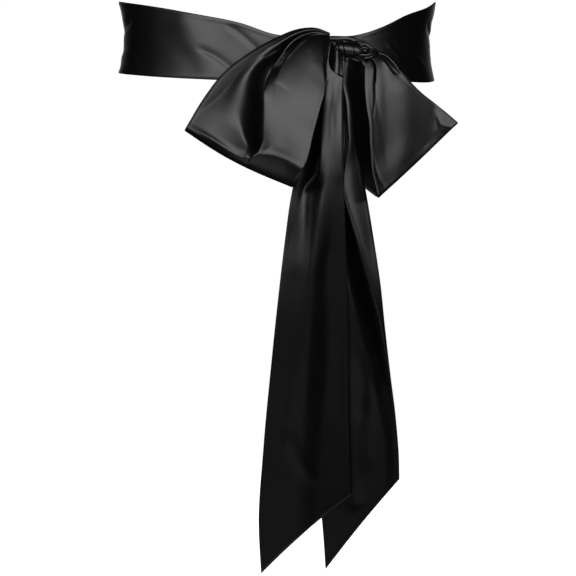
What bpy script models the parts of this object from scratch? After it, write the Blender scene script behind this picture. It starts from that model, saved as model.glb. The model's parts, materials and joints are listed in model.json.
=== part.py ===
"""Black satin sash, worn round a waist and tied at the front in a drooping bow with two long tails.

The frame is in metres, with +Z up and the wearer's front towards -Y. The origin is the middle of the
waist that the sash is tied round, level with the middle of the band. Each stretch of cloth that shows
is an open surface worked out from short tables, and a Solidify modifier gives it the cloth's wall.
"""

import math
from collections import namedtuple

import bmesh
import bpy
import numpy as np

# ---------------------------------------------------------------------------------------------------
# Driving sizes
# ---------------------------------------------------------------------------------------------------

MM = 0.001  # the tables below are in millimetres
WALL = 1.2 * MM  # two layers of satin, pressed flat
WAIST_HALF_WIDTH = 121.0  # of the cloth's middle, where it is narrowest
WAIST_HALF_DEPTH = 90.0
KNOT_TURN = -27.3  # degrees round from the front middle to the knot, which hides where the ends meet

SATIN_BLACK = (0.012, 0.012, 0.013, 1.0)
SATIN_ROUGHNESS = 0.38

# ---------------------------------------------------------------------------------------------------
# Curves, folds and gathers
# ---------------------------------------------------------------------------------------------------

# One ridge or trough that runs along a stretch of cloth. across is its place over the width, from 0 at
# the first edge to 1 at the second, and out is how far it stands out, one value for each station.
Fold = namedtuple("Fold", "name across out")


def smooth_curve(knots, values, at):
    """A cubic Hermite curve through the values; a knot's slope comes from its two neighbours."""
    knots, values = np.asarray(knots, float), np.asarray(values, float)
    slopes = np.gradient(values, knots)
    left = np.clip(np.searchsorted(knots, at, side="right") - 1, 0, len(knots) - 2)
    step = knots[left + 1] - knots[left]
    t = (at - knots[left]) / step
    start = (2 * t**3 - 3 * t**2 + 1) * values[left] + (t**3 - 2 * t**2 + t) * step * slopes[left]
    end = (3 * t**2 - 2 * t**3) * values[left + 1] + (t**3 - t**2) * step * slopes[left + 1]
    return start + end


def column(rows, name, at):
    """A table's named column as a smooth curve over its first column."""
    return smooth_curve([row[0] for row in rows], [getattr(row, name) for row in rows], at)


def ease(t):
    """0 up to 0, 1 from 1 on, and a soft S between."""
    t = np.clip(t, 0.0, 1.0)
    return t * t * (3 - 2 * t)


def relief(folds, stations, across, along):
    """Height of the folded cloth: it eases from each ridge or trough to the next one across."""
    places = [smooth_curve(stations, fold.across, along) for fold in folds]
    heights = [smooth_curve(stations, fold.out, along) for fold in folds]
    height = heights[0]
    for k in range(len(folds) - 1):
        span = np.maximum(places[k + 1] - places[k], 0.03)
        height = height + (heights[k + 1] - heights[k]) * ease((across - places[k]) / span)
    return height


def gathers(across, along, count, height, reach):
    """Small even pleats at the knot, which die out over reach."""
    return height * np.cos(2 * math.pi * count * across) * (1 - ease(along / reach))


def grid(across_count, along_count):
    """Every pair of across and along from 0 to 1, as two arrays with a row for each step along."""
    return np.meshgrid(np.linspace(0, 1, across_count), np.linspace(0, 1, along_count))


# ---------------------------------------------------------------------------------------------------
# The band round the waist
# ---------------------------------------------------------------------------------------------------

# turn: degrees round the waist from the front middle, past the wearer's right side and the back.
# top, bottom: heights of the two edges. stand_off: how far the knot holds the cloth off the waist.
WaistRow = namedtuple("WaistRow", "turn top bottom stand_off")
WAIST_ROWS = (
    WaistRow(-27.3, 3.4, -26.0, 7.5),
    WaistRow(-20.0, 3.2, -27.0, 4.5),
    WaistRow(-12.0, 3.0, -29.0, 2.5),
    WaistRow(0.0, 4.2, -30.5, 0.5),
    WaistRow(13.5, 13.3, -31.4, 0.0),
    WaistRow(29.5, 19.7, -30.5, 0.0),
    WaistRow(49.0, 25.5, -29.0, 0.0),
    WaistRow(70.0, 29.2, -27.3, 0.0),
    WaistRow(90.0, 30.4, -26.4, 0.0),
    WaistRow(110.0, 27.0, -27.3, 0.0),
    WaistRow(130.0, 21.0, -28.8, 0.0),
    WaistRow(155.0, 10.5, -31.0, 0.0),
    WaistRow(180.0, 2.5, -37.0, 0.0),
    WaistRow(205.0, 2.5, -37.0, 0.0),
    WaistRow(220.0, 8.0, -34.5, 0.0),
    WaistRow(235.0, 16.0, -32.8, 0.0),
    WaistRow(250.0, 22.5, -32.0, 0.0),
    WaistRow(270.0, 30.4, -32.6, 0.0),
    WaistRow(291.0, 24.5, -33.6, 0.0),
    WaistRow(307.5, 17.8, -32.5, 0.5),
    WaistRow(321.0, 8.8, -30.0, 3.0),
    WaistRow(327.0, 5.4, -28.0, 5.0),
    WaistRow(332.7, 3.4, -26.0, 7.5),
)
WAIST_STATIONS = (-27.3, 0.0, 45.0, 90.0, 180.0, 270.0, 310.0, 332.7)
WAIST_FOLDS = (
    Fold("top_edge", (0, 0, 0, 0, 0, 0, 0, 0), (0, 1, 2.5, 5.0, 4, 5.2, 2, 0)),
    Fold("lip", (0.2, 0.18, 0.16, 0.16, 0.15, 0.15, 0.18, 0.2), (1, 1.5, 2, 2.8, 4, 4.8, 2, 1)),
    Fold("under_lip", (0.4, 0.42, 0.4, 0.4, 0.35, 0.3, 0.35, 0.4), (-0.6, -1, 0.5, 0.9, 0, -0.8, 0, -0.6)),
    Fold("middle", (0.6, 0.62, 0.6, 0.6, 0.55, 0.54, 0.6, 0.6), (0.8, 2, 1.5, 0.8, 2.5, -0.8, 1.5, 0.8)),
    Fold("low_trough", (0.8, 0.8, 0.8, 0.8, 0.75, 0.74, 0.8, 0.8), (-0.4, 0, 1.5, 2.2, 0, 0.9, 0, -0.4)),
    Fold("bottom_edge", (1, 1, 1, 1, 1, 1, 1, 1), (0.5, 1.5, 3, 5.2, 4, 4.2, 2, 0.5)),
)
WAIST_GRID = (8, 92)


def waist_points(across_count, along_count):
    """An ellipse round the waist, swept between two edge heights, with folds pushing it outwards."""
    across, along = grid(across_count, along_count + 1)
    across, along = across[:-1], along[:-1]
    turn = KNOT_TURN + along * 360.0
    angle = np.radians(turn)
    top, bottom = column(WAIST_ROWS, "top", turn), column(WAIST_ROWS, "bottom", turn)
    out = column(WAIST_ROWS, "stand_off", turn) + relief(WAIST_FOLDS, WAIST_STATIONS, across, turn)
    return np.stack(
        [
            -(WAIST_HALF_WIDTH + out) * np.sin(angle),
            -(WAIST_HALF_DEPTH + out) * np.cos(angle),
            top + (bottom - top) * across,
        ],
        axis=-1,
    )


# ---------------------------------------------------------------------------------------------------
# The two bow loops
# ---------------------------------------------------------------------------------------------------

# along: 0 at the knot to 1 at the loop's far fold. upper_*: the upper selvedge, which both layers
# share. lower_* and behind_*: the lower selvedge of the front layer and of the back one. swell: how
# far each layer stands off its own flat sheet, at the middle.
LoopRow = namedtuple(
    "LoopRow",
    "along upper_x upper_y upper_z lower_x lower_y lower_z behind_x behind_y behind_z swell",
)
# turn: length of the far turn at each selvedge, as a share of the loop. bow: how far the far fold
# curves outwards, as a share too. rim: a soft ridge beside the far turn (height, place at each
# selvedge, width). mouths: the share of the swell left at the selvedges of the front and back layer.
Loop = namedtuple("Loop", "rows stations folds back_folds turn bow rim mouths pleats")

LEFT_LOOP = Loop(
    rows=(
        LoopRow(0.00, 41.2, -102, 5.4, 41.0, -105, -3.8, 40.5, -103.0, -4.0, 2.0),
        LoopRow(0.10, 30.4, -103, 9.2, 37.3, -111, -10.8, 36.5, -106.5, -10.5, 4.0),
        LoopRow(0.22, 16.5, -104, 8.4, 36.2, -116, -20.0, 34.0, -109.5, -19.5, 6.5),
        LoopRow(0.36, 0.3, -105, 2.2, 37.2, -119, -36.9, 33.5, -111.5, -35.5, 9.0),
        LoopRow(0.52, -20.5, -106, -9.3, 33.4, -121, -52.2, 30.0, -112.5, -51.0, 11.0),
        LoopRow(0.68, -40.5, -107, -24.7, 28.0, -122, -72.1, 25.0, -113.0, -70.5, 12.0),
        LoopRow(0.84, -56.7, -108, -45.5, 23.0, -121, -92.1, 20.5, -114.0, -91.0, 12.0),
        LoopRow(1.00, -71.0, -108, -69.3, 12.3, -119, -112.9, 12.0, -117.5, -112.7, 8.0),
    ),
    stations=(0.0, 0.15, 0.3, 0.45, 0.6, 0.72, 0.84, 0.94, 1.0),
    folds=(
        Fold("upper_edge", (0, 0, 0, 0, 0, 0, 0, 0, 0), (0, 0, 0, 0, 0, 0, 0, 0, 0)),
        Fold("flap", (0.06, 0.07, 0.08, 0.1, 0.13, 0.17, 0.22, 0.28, 0.3), (0, 1, 1.5, 2, 3, 4.5, 5, 3, 1)),
        Fold(
            "valley",
            (0.14, 0.14, 0.16, 0.22, 0.3, 0.41, 0.5, 0.57, 0.6),
            (-0.5, -2.5, -6, -11, -14, -15, -13, -7, -1),
        ),
        Fold(
            "crest",
            (0.22, 0.22, 0.24, 0.31, 0.41, 0.54, 0.63, 0.66, 0.7),
            (0.3, 1.5, 3, 4, 5, 6.5, 7, 4.5, 2),
        ),
        Fold(
            "bulge",
            (0.5, 0.5, 0.5, 0.52, 0.62, 0.74, 0.8, 0.83, 0.85),
            (0.5, 2, 3.5, 5, 6, 6.5, 6, 4, 2.5),
        ),
        Fold("lower_edge", (1, 1, 1, 1, 1, 1, 1, 1, 1), (0, 0.5, 1, 1, 1, 1.5, 1.5, 1, 0.5)),
    ),
    back_folds=(
        Fold("upper_edge", (0, 0, 0, 0, 0, 0, 0, 0, 0), (0, 0, 0, 0, 0, 0, 0, 0, 0)),
        Fold("ridge", (0.3, 0.3, 0.3, 0.3, 0.3, 0.3, 0.3, 0.3, 0.3), (0, 1, 1, 2, 2, 2, 2, 1, 1)),
        Fold("trough", (0.6, 0.6, 0.6, 0.6, 0.6, 0.6, 0.6, 0.6, 0.6), (0, -2, -2, -3, -3, -3, -3, -2, -1)),
        Fold("lower_edge", (1, 1, 1, 1, 1, 1, 1, 1, 1), (0, 0, 0, 0, 0, 0, 0, 0, 0)),
    ),
    turn=(0.04, 0.14),
    bow=0.022,
    rim=(2.0, 0.94, 0.89, 0.045),
    mouths=(0.35, 0.1),
    pleats=(2, 0.4, 0.25),
)

RIGHT_LOOP = Loop(
    rows=(
        LoopRow(0.00, 79.6, -99.5, -8.8, 67.9, -106.0, -17.8, 65.0, -99.5, -19.0, 2.5),
        LoopRow(0.09, 86.1, -97.5, -12.0, 67.9, -109.0, -24.0, 59.0, -98.2, -27.5, 4.0),
        LoopRow(0.18, 91.6, -95.0, -17.0, 67.8, -111.0, -30.8, 54.8, -97.3, -35.0, 5.5),
        LoopRow(0.29, 97.1, -91.5, -24.0, 68.0, -112.0, -39.5, 53.3, -97.0, -44.0, 7.0),
        LoopRow(0.40, 103.4, -87.5, -32.0, 69.0, -112.5, -50.5, 54.8, -97.0, -55.0, 8.0),
        LoopRow(0.53, 111.3, -83.0, -40.0, 71.2, -112.5, -64.5, 57.7, -97.0, -69.0, 9.0),
        LoopRow(0.68, 120.9, -78.0, -47.6, 72.0, -111.5, -82.5, 61.2, -98.0, -86.5, 9.5),
        LoopRow(0.84, 131.2, -73.0, -55.8, 73.8, -109.5, -101.5, 66.5, -100.5, -106.0, 9.0),
        LoopRow(1.00, 140.8, -68.0, -64.0, 78.1, -107.0, -121.3, 77.5, -106.0, -121.5, 6.5),
    ),
    stations=(0.0, 0.1, 0.22, 0.36, 0.52, 0.75, 1.0),
    folds=(
        Fold("upper_edge", (0, 0, 0, 0, 0, 0, 0), (0, 0, 0, 0, 0, 0, 0)),
        Fold("rim", (0.06, 0.05, 0.05, 0.06, 0.08, 0.1, 0.1), (0.5, 1.5, 1.5, 1, 0.5, 1, 0)),
        Fold("lens", (0.18, 0.16, 0.15, 0.17, 0.2, 0.2, 0.2), (-0.4, -1.2, -1, 0.5, 1.5, 1.5, 0)),
        Fold("dome", (0.36, 0.38, 0.42, 0.48, 0.54, 0.62, 0.66), (0.6, 1.5, 3, 4, 4.5, 4.5, 2.5)),
        Fold("slack", (0.55, 0.57, 0.66, 0.74, 0.8, 0.83, 0.85), (-0.5, -2.5, -1.5, 1.5, 2.5, 2.5, 1.5)),
        Fold("left_ridge", (0.76, 0.74, 0.82, 0.88, 0.92, 0.94, 0.94), (0.6, 2.5, 3.5, 4, 4, 3.5, 2.5)),
        Fold("left_edge", (1, 1, 1, 1, 1, 1, 1), (0, 0.5, 1, 1, 1, 1, 0.5)),
    ),
    back_folds=(
        Fold("upper_edge", (0, 0, 0, 0, 0, 0, 0), (0, 0, 0, 0, 0, 0, 0)),
        Fold("trough", (0.35, 0.35, 0.35, 0.35, 0.35, 0.35, 0.35), (0, -1, -2, -3, -3, -2, -1)),
        Fold("ridge", (0.7, 0.7, 0.7, 0.7, 0.7, 0.7, 0.7), (0, 1, 1, 1, 1, 1, 1)),
        Fold("left_edge", (1, 1, 1, 1, 1, 1, 1), (0, 0, 0, 0, 0, 0, 0)),
    ),
    turn=(0.05, 0.10),
    bow=0.006,
    rim=(1.2, 0.92, 0.9, 0.05),
    mouths=(0.35, 0.1),
    pleats=(3, 0.4, 0.22),
)
LOOP_HALF_GAP = 1.1  # least distance of each layer from its own flat sheet
LOOP_GRID = (22, 18, 5, 11)  # points across, and steps along the front layer, the turn and the back


def loop_points(loop, across_count, front_count, turn_count, back_count):
    """A front layer from the knot, a half turn at the far fold, and a back layer to the knot again.

    swing is the angle round the far turn: 0 all along the front layer, 180 degrees all along the back
    one. Its sine carries the cloth outwards, and its cosine from the front layer to the back one.
    """
    front = np.linspace(0, 1, front_count + 1)[:-1]
    back = np.linspace(1, 0, back_count + 1)[1:]
    turning = np.linspace(0, 1, turn_count + 1)
    reach = np.concatenate([front, np.ones(turn_count + 1), back])[:, None]
    swing = np.concatenate([np.zeros(front_count), turning * math.pi, np.full(back_count, math.pi)])
    swing = swing[:, None]
    across = np.linspace(0, 1, across_count)[None, :]
    turn_length = loop.turn[0] + (loop.turn[1] - loop.turn[0]) * across
    along = reach * (1 - turn_length) + turn_length * np.sin(swing)
    along = along * (1 + loop.bow * np.sin(math.pi * across))
    across = across + np.zeros_like(along)
    behind = ease(swing / math.pi * 2 - 1)

    upper = [column(loop.rows, "upper_" + axis, along) for axis in "xyz"]
    lower = [column(loop.rows, "lower_" + axis, along) for axis in "xyz"]
    hidden = [column(loop.rows, "behind_" + axis, along) for axis in "xyz"]
    lower = [a + (b - a) * behind for a, b in zip(lower, hidden)]
    x, y, z = (a + (b - a) * across for a, b in zip(upper, lower))

    swell = column(loop.rows, "swell", along)
    front_mouth, back_mouth = loop.mouths
    belly = np.sin(math.pi * across)
    height, upper_place, lower_place, width = loop.rim
    rim_place = upper_place + (lower_place - upper_place) * across
    rim = height * np.exp(-(((along - rim_place) / width) ** 2))
    front_out = LOOP_HALF_GAP + swell * (front_mouth + (1 - front_mouth) * belly) + rim
    front_out = front_out + relief(loop.folds, loop.stations, across, along)
    back_out = LOOP_HALF_GAP + swell * (back_mouth + (1 - back_mouth) * belly)
    back_out = back_out + relief(loop.back_folds, loop.stations, across, along)
    out = front_out * (1 - behind) + back_out * behind + gathers(across, along, *loop.pleats)
    return np.stack([x, y - out * np.cos(swing), z], axis=-1)


# ---------------------------------------------------------------------------------------------------
# The two tails
# ---------------------------------------------------------------------------------------------------

# along: 0 at the knot to 1 at the slanting hem. left_* and right_* are the tail's two selvedges as seen
# from the front, and y is the depth of its middle surface.
TailRow = namedtuple("TailRow", "along left_x left_z right_x right_z y")
# hem_bow: how far the hem's middle is drawn up.
Tail = namedtuple("Tail", "rows stations folds hem_bow")

FRONT_TAIL = Tail(
    rows=(
        TailRow(0.00, 40.9, -0.8, 50.7, -11.6, -109.4),
        TailRow(0.04, 39.8, -9.3, 51.3, -17.7, -111.5),
        TailRow(0.08, 38.3, -20.0, 51.5, -26.9, -112.5),
        TailRow(0.13, 38.0, -35.4, 51.5, -40.0, -113.0),
        TailRow(0.19, 30.7, -56.9, 51.6, -59.2, -113.0),
        TailRow(0.25, 22.3, -78.5, 51.6, -79.2, -113.0),
        TailRow(0.31, 15.4, -100.1, 51.7, -99.2, -113.0),
        TailRow(0.37, 10.9, -121.6, 52.0, -118.4, -113.5),
        TailRow(0.46, 6.4, -154.1, 53.3, -148.5, -114.0),
        TailRow(0.57, 1.4, -196.6, 54.8, -187.1, -114.0),
        TailRow(0.70, -4.3, -250.8, 56.2, -235.8, -114.0),
        TailRow(0.84, -10.4, -316.8, 56.8, -292.4, -114.0),
        TailRow(0.94, -14.0, -375.1, 57.8, -332.0, -114.0),
        TailRow(1.00, -12.1, -413.3, 58.1, -352.2, -114.0),
    ),
    stations=(0.0, 0.04, 0.08, 0.12, 0.18, 0.24, 0.29, 0.34, 0.44, 0.6, 0.8, 1.0),
    folds=(
        Fold("left_edge", (0,) * 12, (0, 0.5, 0.5, -1.5, -4, -6, -7, -4, -1, 0, 0, 0)),
        Fold(
            "left_ridge",
            (0.08, 0.07, 0.1, 0.08, 0.05, 0.05, 0.06, 0.08, 0.1, 0.2, 0.3, 0.3),
            (0.8, 1.8, 1.8, -1.5, -4.5, -7, -7, -3, 0.5, 1.5, 1.5, 1),
        ),
        Fold(
            "valley",
            (0.28, 0.34, 0.45, 0.2, 0.17, 0.25, 0.28, 0.21, 0.25, 0.3, 0.4, 0.4),
            (-1, -3.5, -2.5, -1.5, -5.5, -8.5, -9.5, -8, -3, -0.5, 0, 0),
        ),
        Fold(
            "crest",
            (0.6, 0.7, 0.8, 0.34, 0.32, 0.46, 0.52, 0.34, 0.36, 0.42, 0.45, 0.45),
            (0, 0.8, 1.2, 1, 2.5, 3.5, 4, 3, 2, 1, 0.8, 0.5),
        ),
        Fold(
            "streak",
            (0.75, 0.8, 0.87, 0.6, 0.6, 0.66, 0.7, 0.6, 0.62, 0.6, 0.57, 0.52),
            (-1.8, 0, 1, 1.5, 2.5, 2.5, 2, 0, -2.5, -3, -2.5, -1.5),
        ),
        Fold(
            "panel",
            (0.9, 0.92, 0.94, 0.85, 0.85, 0.86, 0.88, 0.85, 0.85, 0.85, 0.85, 0.85),
            (-2.1, 0, 1.2, 2, 3.5, 4, 4, 3.5, 3, 2, 1, 0.5),
        ),
        Fold("right_edge", (1,) * 12, (-2.1, -0.5, 0.5, 1, 2, 3, 3, 3, 2.5, 1.5, 0.5, 0)),
    ),
    hem_bow=2.8,
)

BACK_TAIL = Tail(
    rows=(
        TailRow(0.00, 46.0, -11.5, 52.6, -12.7, -101.0),
        TailRow(0.05, 43.5, -32.4, 53.2, -30.8, -103.5),
        TailRow(0.10, 42.4, -49.4, 57.4, -46.3, -104.0),
        TailRow(0.16, 40.8, -69.4, 59.8, -64.8, -104.0),
        TailRow(0.22, 39.3, -89.5, 62.4, -83.3, -104.0),
        TailRow(0.29, 37.8, -112.7, 66.6, -103.3, -104.0),
        TailRow(0.37, 36.2, -140.5, 71.0, -128.1, -104.0),
        TailRow(0.46, 34.7, -173.0, 75.5, -155.9, -104.0),
        TailRow(0.56, 33.6, -212.6, 80.4, -188.4, -104.0),
        TailRow(0.66, 32.8, -255.3, 84.0, -222.5, -104.0),
        TailRow(0.76, 32.5, -300.4, 88.1, -257.5, -104.0),
        TailRow(0.86, 33.3, -348.8, 92.5, -292.5, -104.0),
        TailRow(0.94, 36.4, -387.8, 94.9, -321.3, -104.0),
        TailRow(1.00, 38.0, -411.2, 95.5, -340.7, -104.0),
    ),
    stations=(0.0, 0.08, 0.14, 0.2, 0.27, 0.34, 0.44, 0.54, 0.64, 0.74, 0.84, 1.0),
    folds=(
        Fold("left_edge", (0,) * 12, (0, -1, -2, -2, 0, 0, 0.5, 1, 1, 1, 1, 1)),
        Fold(
            "left_panel",
            (0.2, 0.2, 0.2, 0.2, 0.2, 0.2, 0.25, 0.3, 0.4, 0.5, 0.5, 0.5),
            (0, -1, -2, -2, 0, 0.5, 1, 2, 2.5, 2.5, 2, 1.5),
        ),
        Fold(
            "valley",
            (0.45, 0.5, 0.6, 0.58, 0.43, 0.4, 0.52, 0.62, 0.75, 0.86, 0.9, 0.9),
            (-0.3, -3, -5, -5, -3, -6, -9, -9, -7.5, -5, -2, 0),
        ),
        Fold(
            "fold_line",
            (0.7, 0.75, 0.84, 0.86, 0.6, 0.53, 0.71, 0.83, 0.93, 0.96, 0.96, 0.96),
            (0.3, 1.5, 3, 3, 1.5, 4, 5, 5, 4, 2, 0.5, 0.3),
        ),
        Fold("right_edge", (1,) * 12, (0, 1, 2, 2.5, 3, 4, 4, 4, 3.5, 2, 1, 0.5)),
    ),
    hem_bow=1.5,
)
TAIL_GRID = (13, 40)


def tail_points(tail, across_count, along_count):
    """A hanging strip between two selvedge curves, with its folds standing out towards -Y."""
    across, along = grid(across_count, along_count)
    left = [column(tail.rows, "left_" + axis, along) for axis in "xz"]
    right = [column(tail.rows, "right_" + axis, along) for axis in "xz"]
    x, z = (a + (b - a) * across for a, b in zip(left, right))
    z = z + tail.hem_bow * np.sin(math.pi * across) * ease(along * 4 - 3)
    out = relief(tail.folds, tail.stations, across, along)
    return np.stack([x, column(tail.rows, "y", along) - out, z], axis=-1)


# ---------------------------------------------------------------------------------------------------
# The knot
# ---------------------------------------------------------------------------------------------------

KNOT_CENTRE = (55.6, -98.3, -7.2)
KNOT_TILT = -8.0  # degrees, the knot's long axis dips towards the wearer's left
WRAP_HALF_WIDTH = 10.3
WRAP_RADII = (8.0, 4.5)  # of the wrap's middle surface: depth and height
WRAP_PLEATS = (3, 0.45)  # how many pleats the wrap has side by side, and their height
WRAP_MOUTH = 0.8  # how far its two mouths are drawn in
WRAP_GRID = (13, 28)

# The crossed layers: they fill the wrap, and bunch up where they leave it for the right loop.
CoreRow = namedtuple("CoreRow", "x y z half_depth half_height")
CORE_ROWS = (
    CoreRow(40.6, -102.5, -2.6, 0.0, 0.0),
    CoreRow(42.2, -102.3, -3.4, 0.8, 1.2),
    CoreRow(44.2, -101.0, -4.9, 1.8, 1.4),
    CoreRow(46.5, -99.6, -5.7, 3.0, 1.7),
    CoreRow(50.0, -98.5, -6.4, 4.6, 2.4),
    CoreRow(60.0, -98.3, -7.8, 4.8, 2.4),
    CoreRow(65.8, -98.8, -8.5, 3.6, 1.8),
    CoreRow(68.8, -100.6, -7.9, 5.2, 4.2),
    CoreRow(72.0, -101.8, -8.2, 5.3, 4.4),
    CoreRow(75.2, -101.3, -8.3, 4.0, 2.9),
    CoreRow(77.2, -100.4, -8.4, 2.4, 1.6),
    CoreRow(78.2, -100.0, -8.2, 0.0, 0.0),
)
CORE_PLEATS = (6, 0.1)  # how many pleats run along the core, and their height as a share of its girth
CORE_GRID = (30, 24)


def tilted(points):
    """Points turned about the Y axis by the knot's tilt, and moved to the knot's centre."""
    angle = math.radians(KNOT_TILT)
    x, y, z = points[..., 0], points[..., 1], points[..., 2]
    turned = [x * math.cos(angle) - z * math.sin(angle), y, x * math.sin(angle) + z * math.cos(angle)]
    return np.stack(turned, axis=-1) + np.array(KNOT_CENTRE)


def wrap_points(across_count, around_count):
    """A short tube round the knot's long axis, with pleats that run round it side by side."""
    across = np.linspace(-1, 1, across_count)[None, :]
    around = np.linspace(0, 2 * math.pi, around_count, endpoint=False)[:, None]
    count, height = WRAP_PLEATS
    out = height * np.cos(math.pi * count * across) - WRAP_MOUTH * across**4
    shape = [
        WRAP_HALF_WIDTH * across + 0 * around,
        -(WRAP_RADII[0] + out) * np.cos(around),
        (WRAP_RADII[1] + out) * np.sin(around),
    ]
    return tilted(np.stack(shape, axis=-1))


def core_points(across_count, around_count):
    """Oval rings from a table, with pleats that run along the core. Its two end rings are points."""
    first, last = CORE_ROWS[0].x, CORE_ROWS[-1].x
    x = first + (last - first) * (1 - np.cos(np.linspace(0, math.pi, across_count)[None, :])) / 2
    around = np.linspace(0, 2 * math.pi, around_count, endpoint=False)[:, None]
    count, share = CORE_PLEATS
    girth = 1 + share * np.cos(count * around)
    depth = np.maximum(column(CORE_ROWS, "half_depth", x), 0) * girth
    height = np.maximum(column(CORE_ROWS, "half_height", x), 0) * girth
    return np.stack(
        [
            x + 0 * around,
            column(CORE_ROWS, "y", x) - depth * np.cos(around),
            column(CORE_ROWS, "z", x) + height * np.sin(around),
        ],
        axis=-1,
    )


# ---------------------------------------------------------------------------------------------------
# Objects
# ---------------------------------------------------------------------------------------------------


def clear_scene():
    for old in list(bpy.data.objects):
        bpy.data.objects.remove(old, do_unlink=True)


def satin(name):
    material = bpy.data.materials.new(name)
    material.use_nodes = True
    shader = material.node_tree.nodes["Principled BSDF"]
    shader.inputs["Base Color"].default_value = SATIN_BLACK
    shader.inputs["Roughness"].default_value = SATIN_ROUGHNESS
    shader.inputs["Metallic"].default_value = 0.0
    material.diffuse_color = SATIN_BLACK
    return material


def surface(name, points, collection, tube):
    """A mesh object over rows of points; a tube's last row joins its first one."""
    rows, columns = points.shape[:2]
    index = np.arange(rows * columns).reshape(rows, columns)
    if tube:
        index = np.vstack([index, index[:1]])
    corners = [index[:-1, :-1], index[:-1, 1:], index[1:, 1:], index[1:, :-1]]
    faces = np.stack(corners, axis=-1).reshape(-1, 4)
    mesh = bpy.data.meshes.new(name)
    mesh.from_pydata((points.reshape(-1, 3) * MM).tolist(), [], faces.tolist())
    mesh.shade_smooth()
    mesh.materials.append(satin(name + "_satin"))
    made = bpy.data.objects.new(name, mesh)
    collection.objects.link(made)
    return made


def cloth(name, points, collection, tube=False):
    """The points are the cloth's middle, and Solidify gives it a wall."""
    made = surface(name, points, collection, tube)
    wall = made.modifiers.new("wall", "SOLIDIFY")
    wall.thickness = WALL
    wall.offset = 0.0


def solid(name, points, collection):
    """A closed tube whose two end rings are points."""
    made = surface(name, points, collection, tube=True)
    shape = bmesh.new()
    shape.from_mesh(made.data)
    bmesh.ops.remove_doubles(shape, verts=shape.verts, dist=0.01 * MM)
    shape.to_mesh(made.data)
    shape.free()


def main():
    clear_scene()
    sash = bpy.data.collections.new("satin_sash")
    bpy.context.scene.collection.children.link(sash)
    cloth("waist_band", waist_points(*WAIST_GRID), sash, tube=True)
    cloth("loop_left", loop_points(LEFT_LOOP, *LOOP_GRID), sash)
    cloth("loop_right", loop_points(RIGHT_LOOP, *LOOP_GRID), sash)
    cloth("tail_front", tail_points(FRONT_TAIL, *TAIL_GRID), sash)
    cloth("tail_back", tail_points(BACK_TAIL, *TAIL_GRID), sash)
    cloth("knot_wrap", wrap_points(*WRAP_GRID), sash, tube=True)
    solid("knot_core", core_points(*CORE_GRID), sash)


main()
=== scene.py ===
# %% [markdown]
# # A black satin sash, tied in a bow
# The real thing is one long strip of satin, folded lengthwise, sewn along its open side and across both
# slanted ends, and turned. It goes once round the waist and is tied in a bow in front. Here each stretch of
# it that shows becomes a mesh of its own: the band, the bow's two loops, the two tails, the short turn round
# the knot, and the bunched folds where the knot lets the right loop go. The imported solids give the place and
# size of each, and this script gives them their real thickness, small folds, satin and light.

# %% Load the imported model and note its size
import json
import math
from collections import namedtuple

import bmesh
import bpy
import numpy as np
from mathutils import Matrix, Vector

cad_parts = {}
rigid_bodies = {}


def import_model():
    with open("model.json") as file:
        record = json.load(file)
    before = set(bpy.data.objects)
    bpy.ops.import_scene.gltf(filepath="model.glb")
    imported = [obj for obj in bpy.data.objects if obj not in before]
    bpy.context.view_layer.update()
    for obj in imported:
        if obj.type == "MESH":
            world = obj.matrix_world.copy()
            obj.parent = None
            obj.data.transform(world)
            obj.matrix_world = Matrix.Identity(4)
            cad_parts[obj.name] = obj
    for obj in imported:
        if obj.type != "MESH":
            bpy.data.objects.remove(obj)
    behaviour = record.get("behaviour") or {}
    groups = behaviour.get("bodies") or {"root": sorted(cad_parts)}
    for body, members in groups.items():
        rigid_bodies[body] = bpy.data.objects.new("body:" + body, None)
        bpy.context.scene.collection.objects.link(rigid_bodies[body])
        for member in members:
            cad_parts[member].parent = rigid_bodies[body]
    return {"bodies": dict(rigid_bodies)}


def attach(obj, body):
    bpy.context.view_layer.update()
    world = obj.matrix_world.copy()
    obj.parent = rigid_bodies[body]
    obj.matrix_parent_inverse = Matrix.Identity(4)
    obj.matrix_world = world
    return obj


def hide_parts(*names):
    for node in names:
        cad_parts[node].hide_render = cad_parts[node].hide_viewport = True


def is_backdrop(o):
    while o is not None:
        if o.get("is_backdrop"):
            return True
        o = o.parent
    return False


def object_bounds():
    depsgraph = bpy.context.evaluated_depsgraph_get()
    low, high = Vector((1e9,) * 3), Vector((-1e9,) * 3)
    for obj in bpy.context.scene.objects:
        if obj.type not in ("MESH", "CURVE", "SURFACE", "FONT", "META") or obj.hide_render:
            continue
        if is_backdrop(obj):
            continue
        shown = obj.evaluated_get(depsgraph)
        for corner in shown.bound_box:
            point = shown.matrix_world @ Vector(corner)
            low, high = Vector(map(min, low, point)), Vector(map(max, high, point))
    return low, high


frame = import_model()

MM = 0.001  # the tables below are in millimetres
TINY = 1e-9  # keeps a division by a length of nothing from failing
solids_box = [list(corner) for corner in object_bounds()]
BODY = list(frame["bodies"])[0]
print("body:", BODY, "- solids from", solids_box[0], "to", solids_box[1])

# %% [markdown]
# ## The camera
# A long lens far away flattens the picture, as in a catalogue. The width that the picture takes in at the
# sash and the distance give the focal length, so each can be read as a real size.

# %% Place the camera
CAMERA_DISTANCE = 3.2
CAMERA_RISE = math.radians(3.5)
CAMERA_LOOKS_AT = Vector((8.8, 0.0, -198.0)) * MM
PICTURE_WIDTH = 460.8 * MM  # what the picture takes in at the sash, across


def add_object(name, data):
    """An object with the data, linked into the scene."""
    made = bpy.data.objects.new(name, data)
    bpy.context.scene.collection.objects.link(made)
    return made


def turned_to(direction):
    """The turn that points the -Z axis of a camera or a light in the direction."""
    return direction.to_track_quat("-Z", "Y").to_euler()


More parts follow.
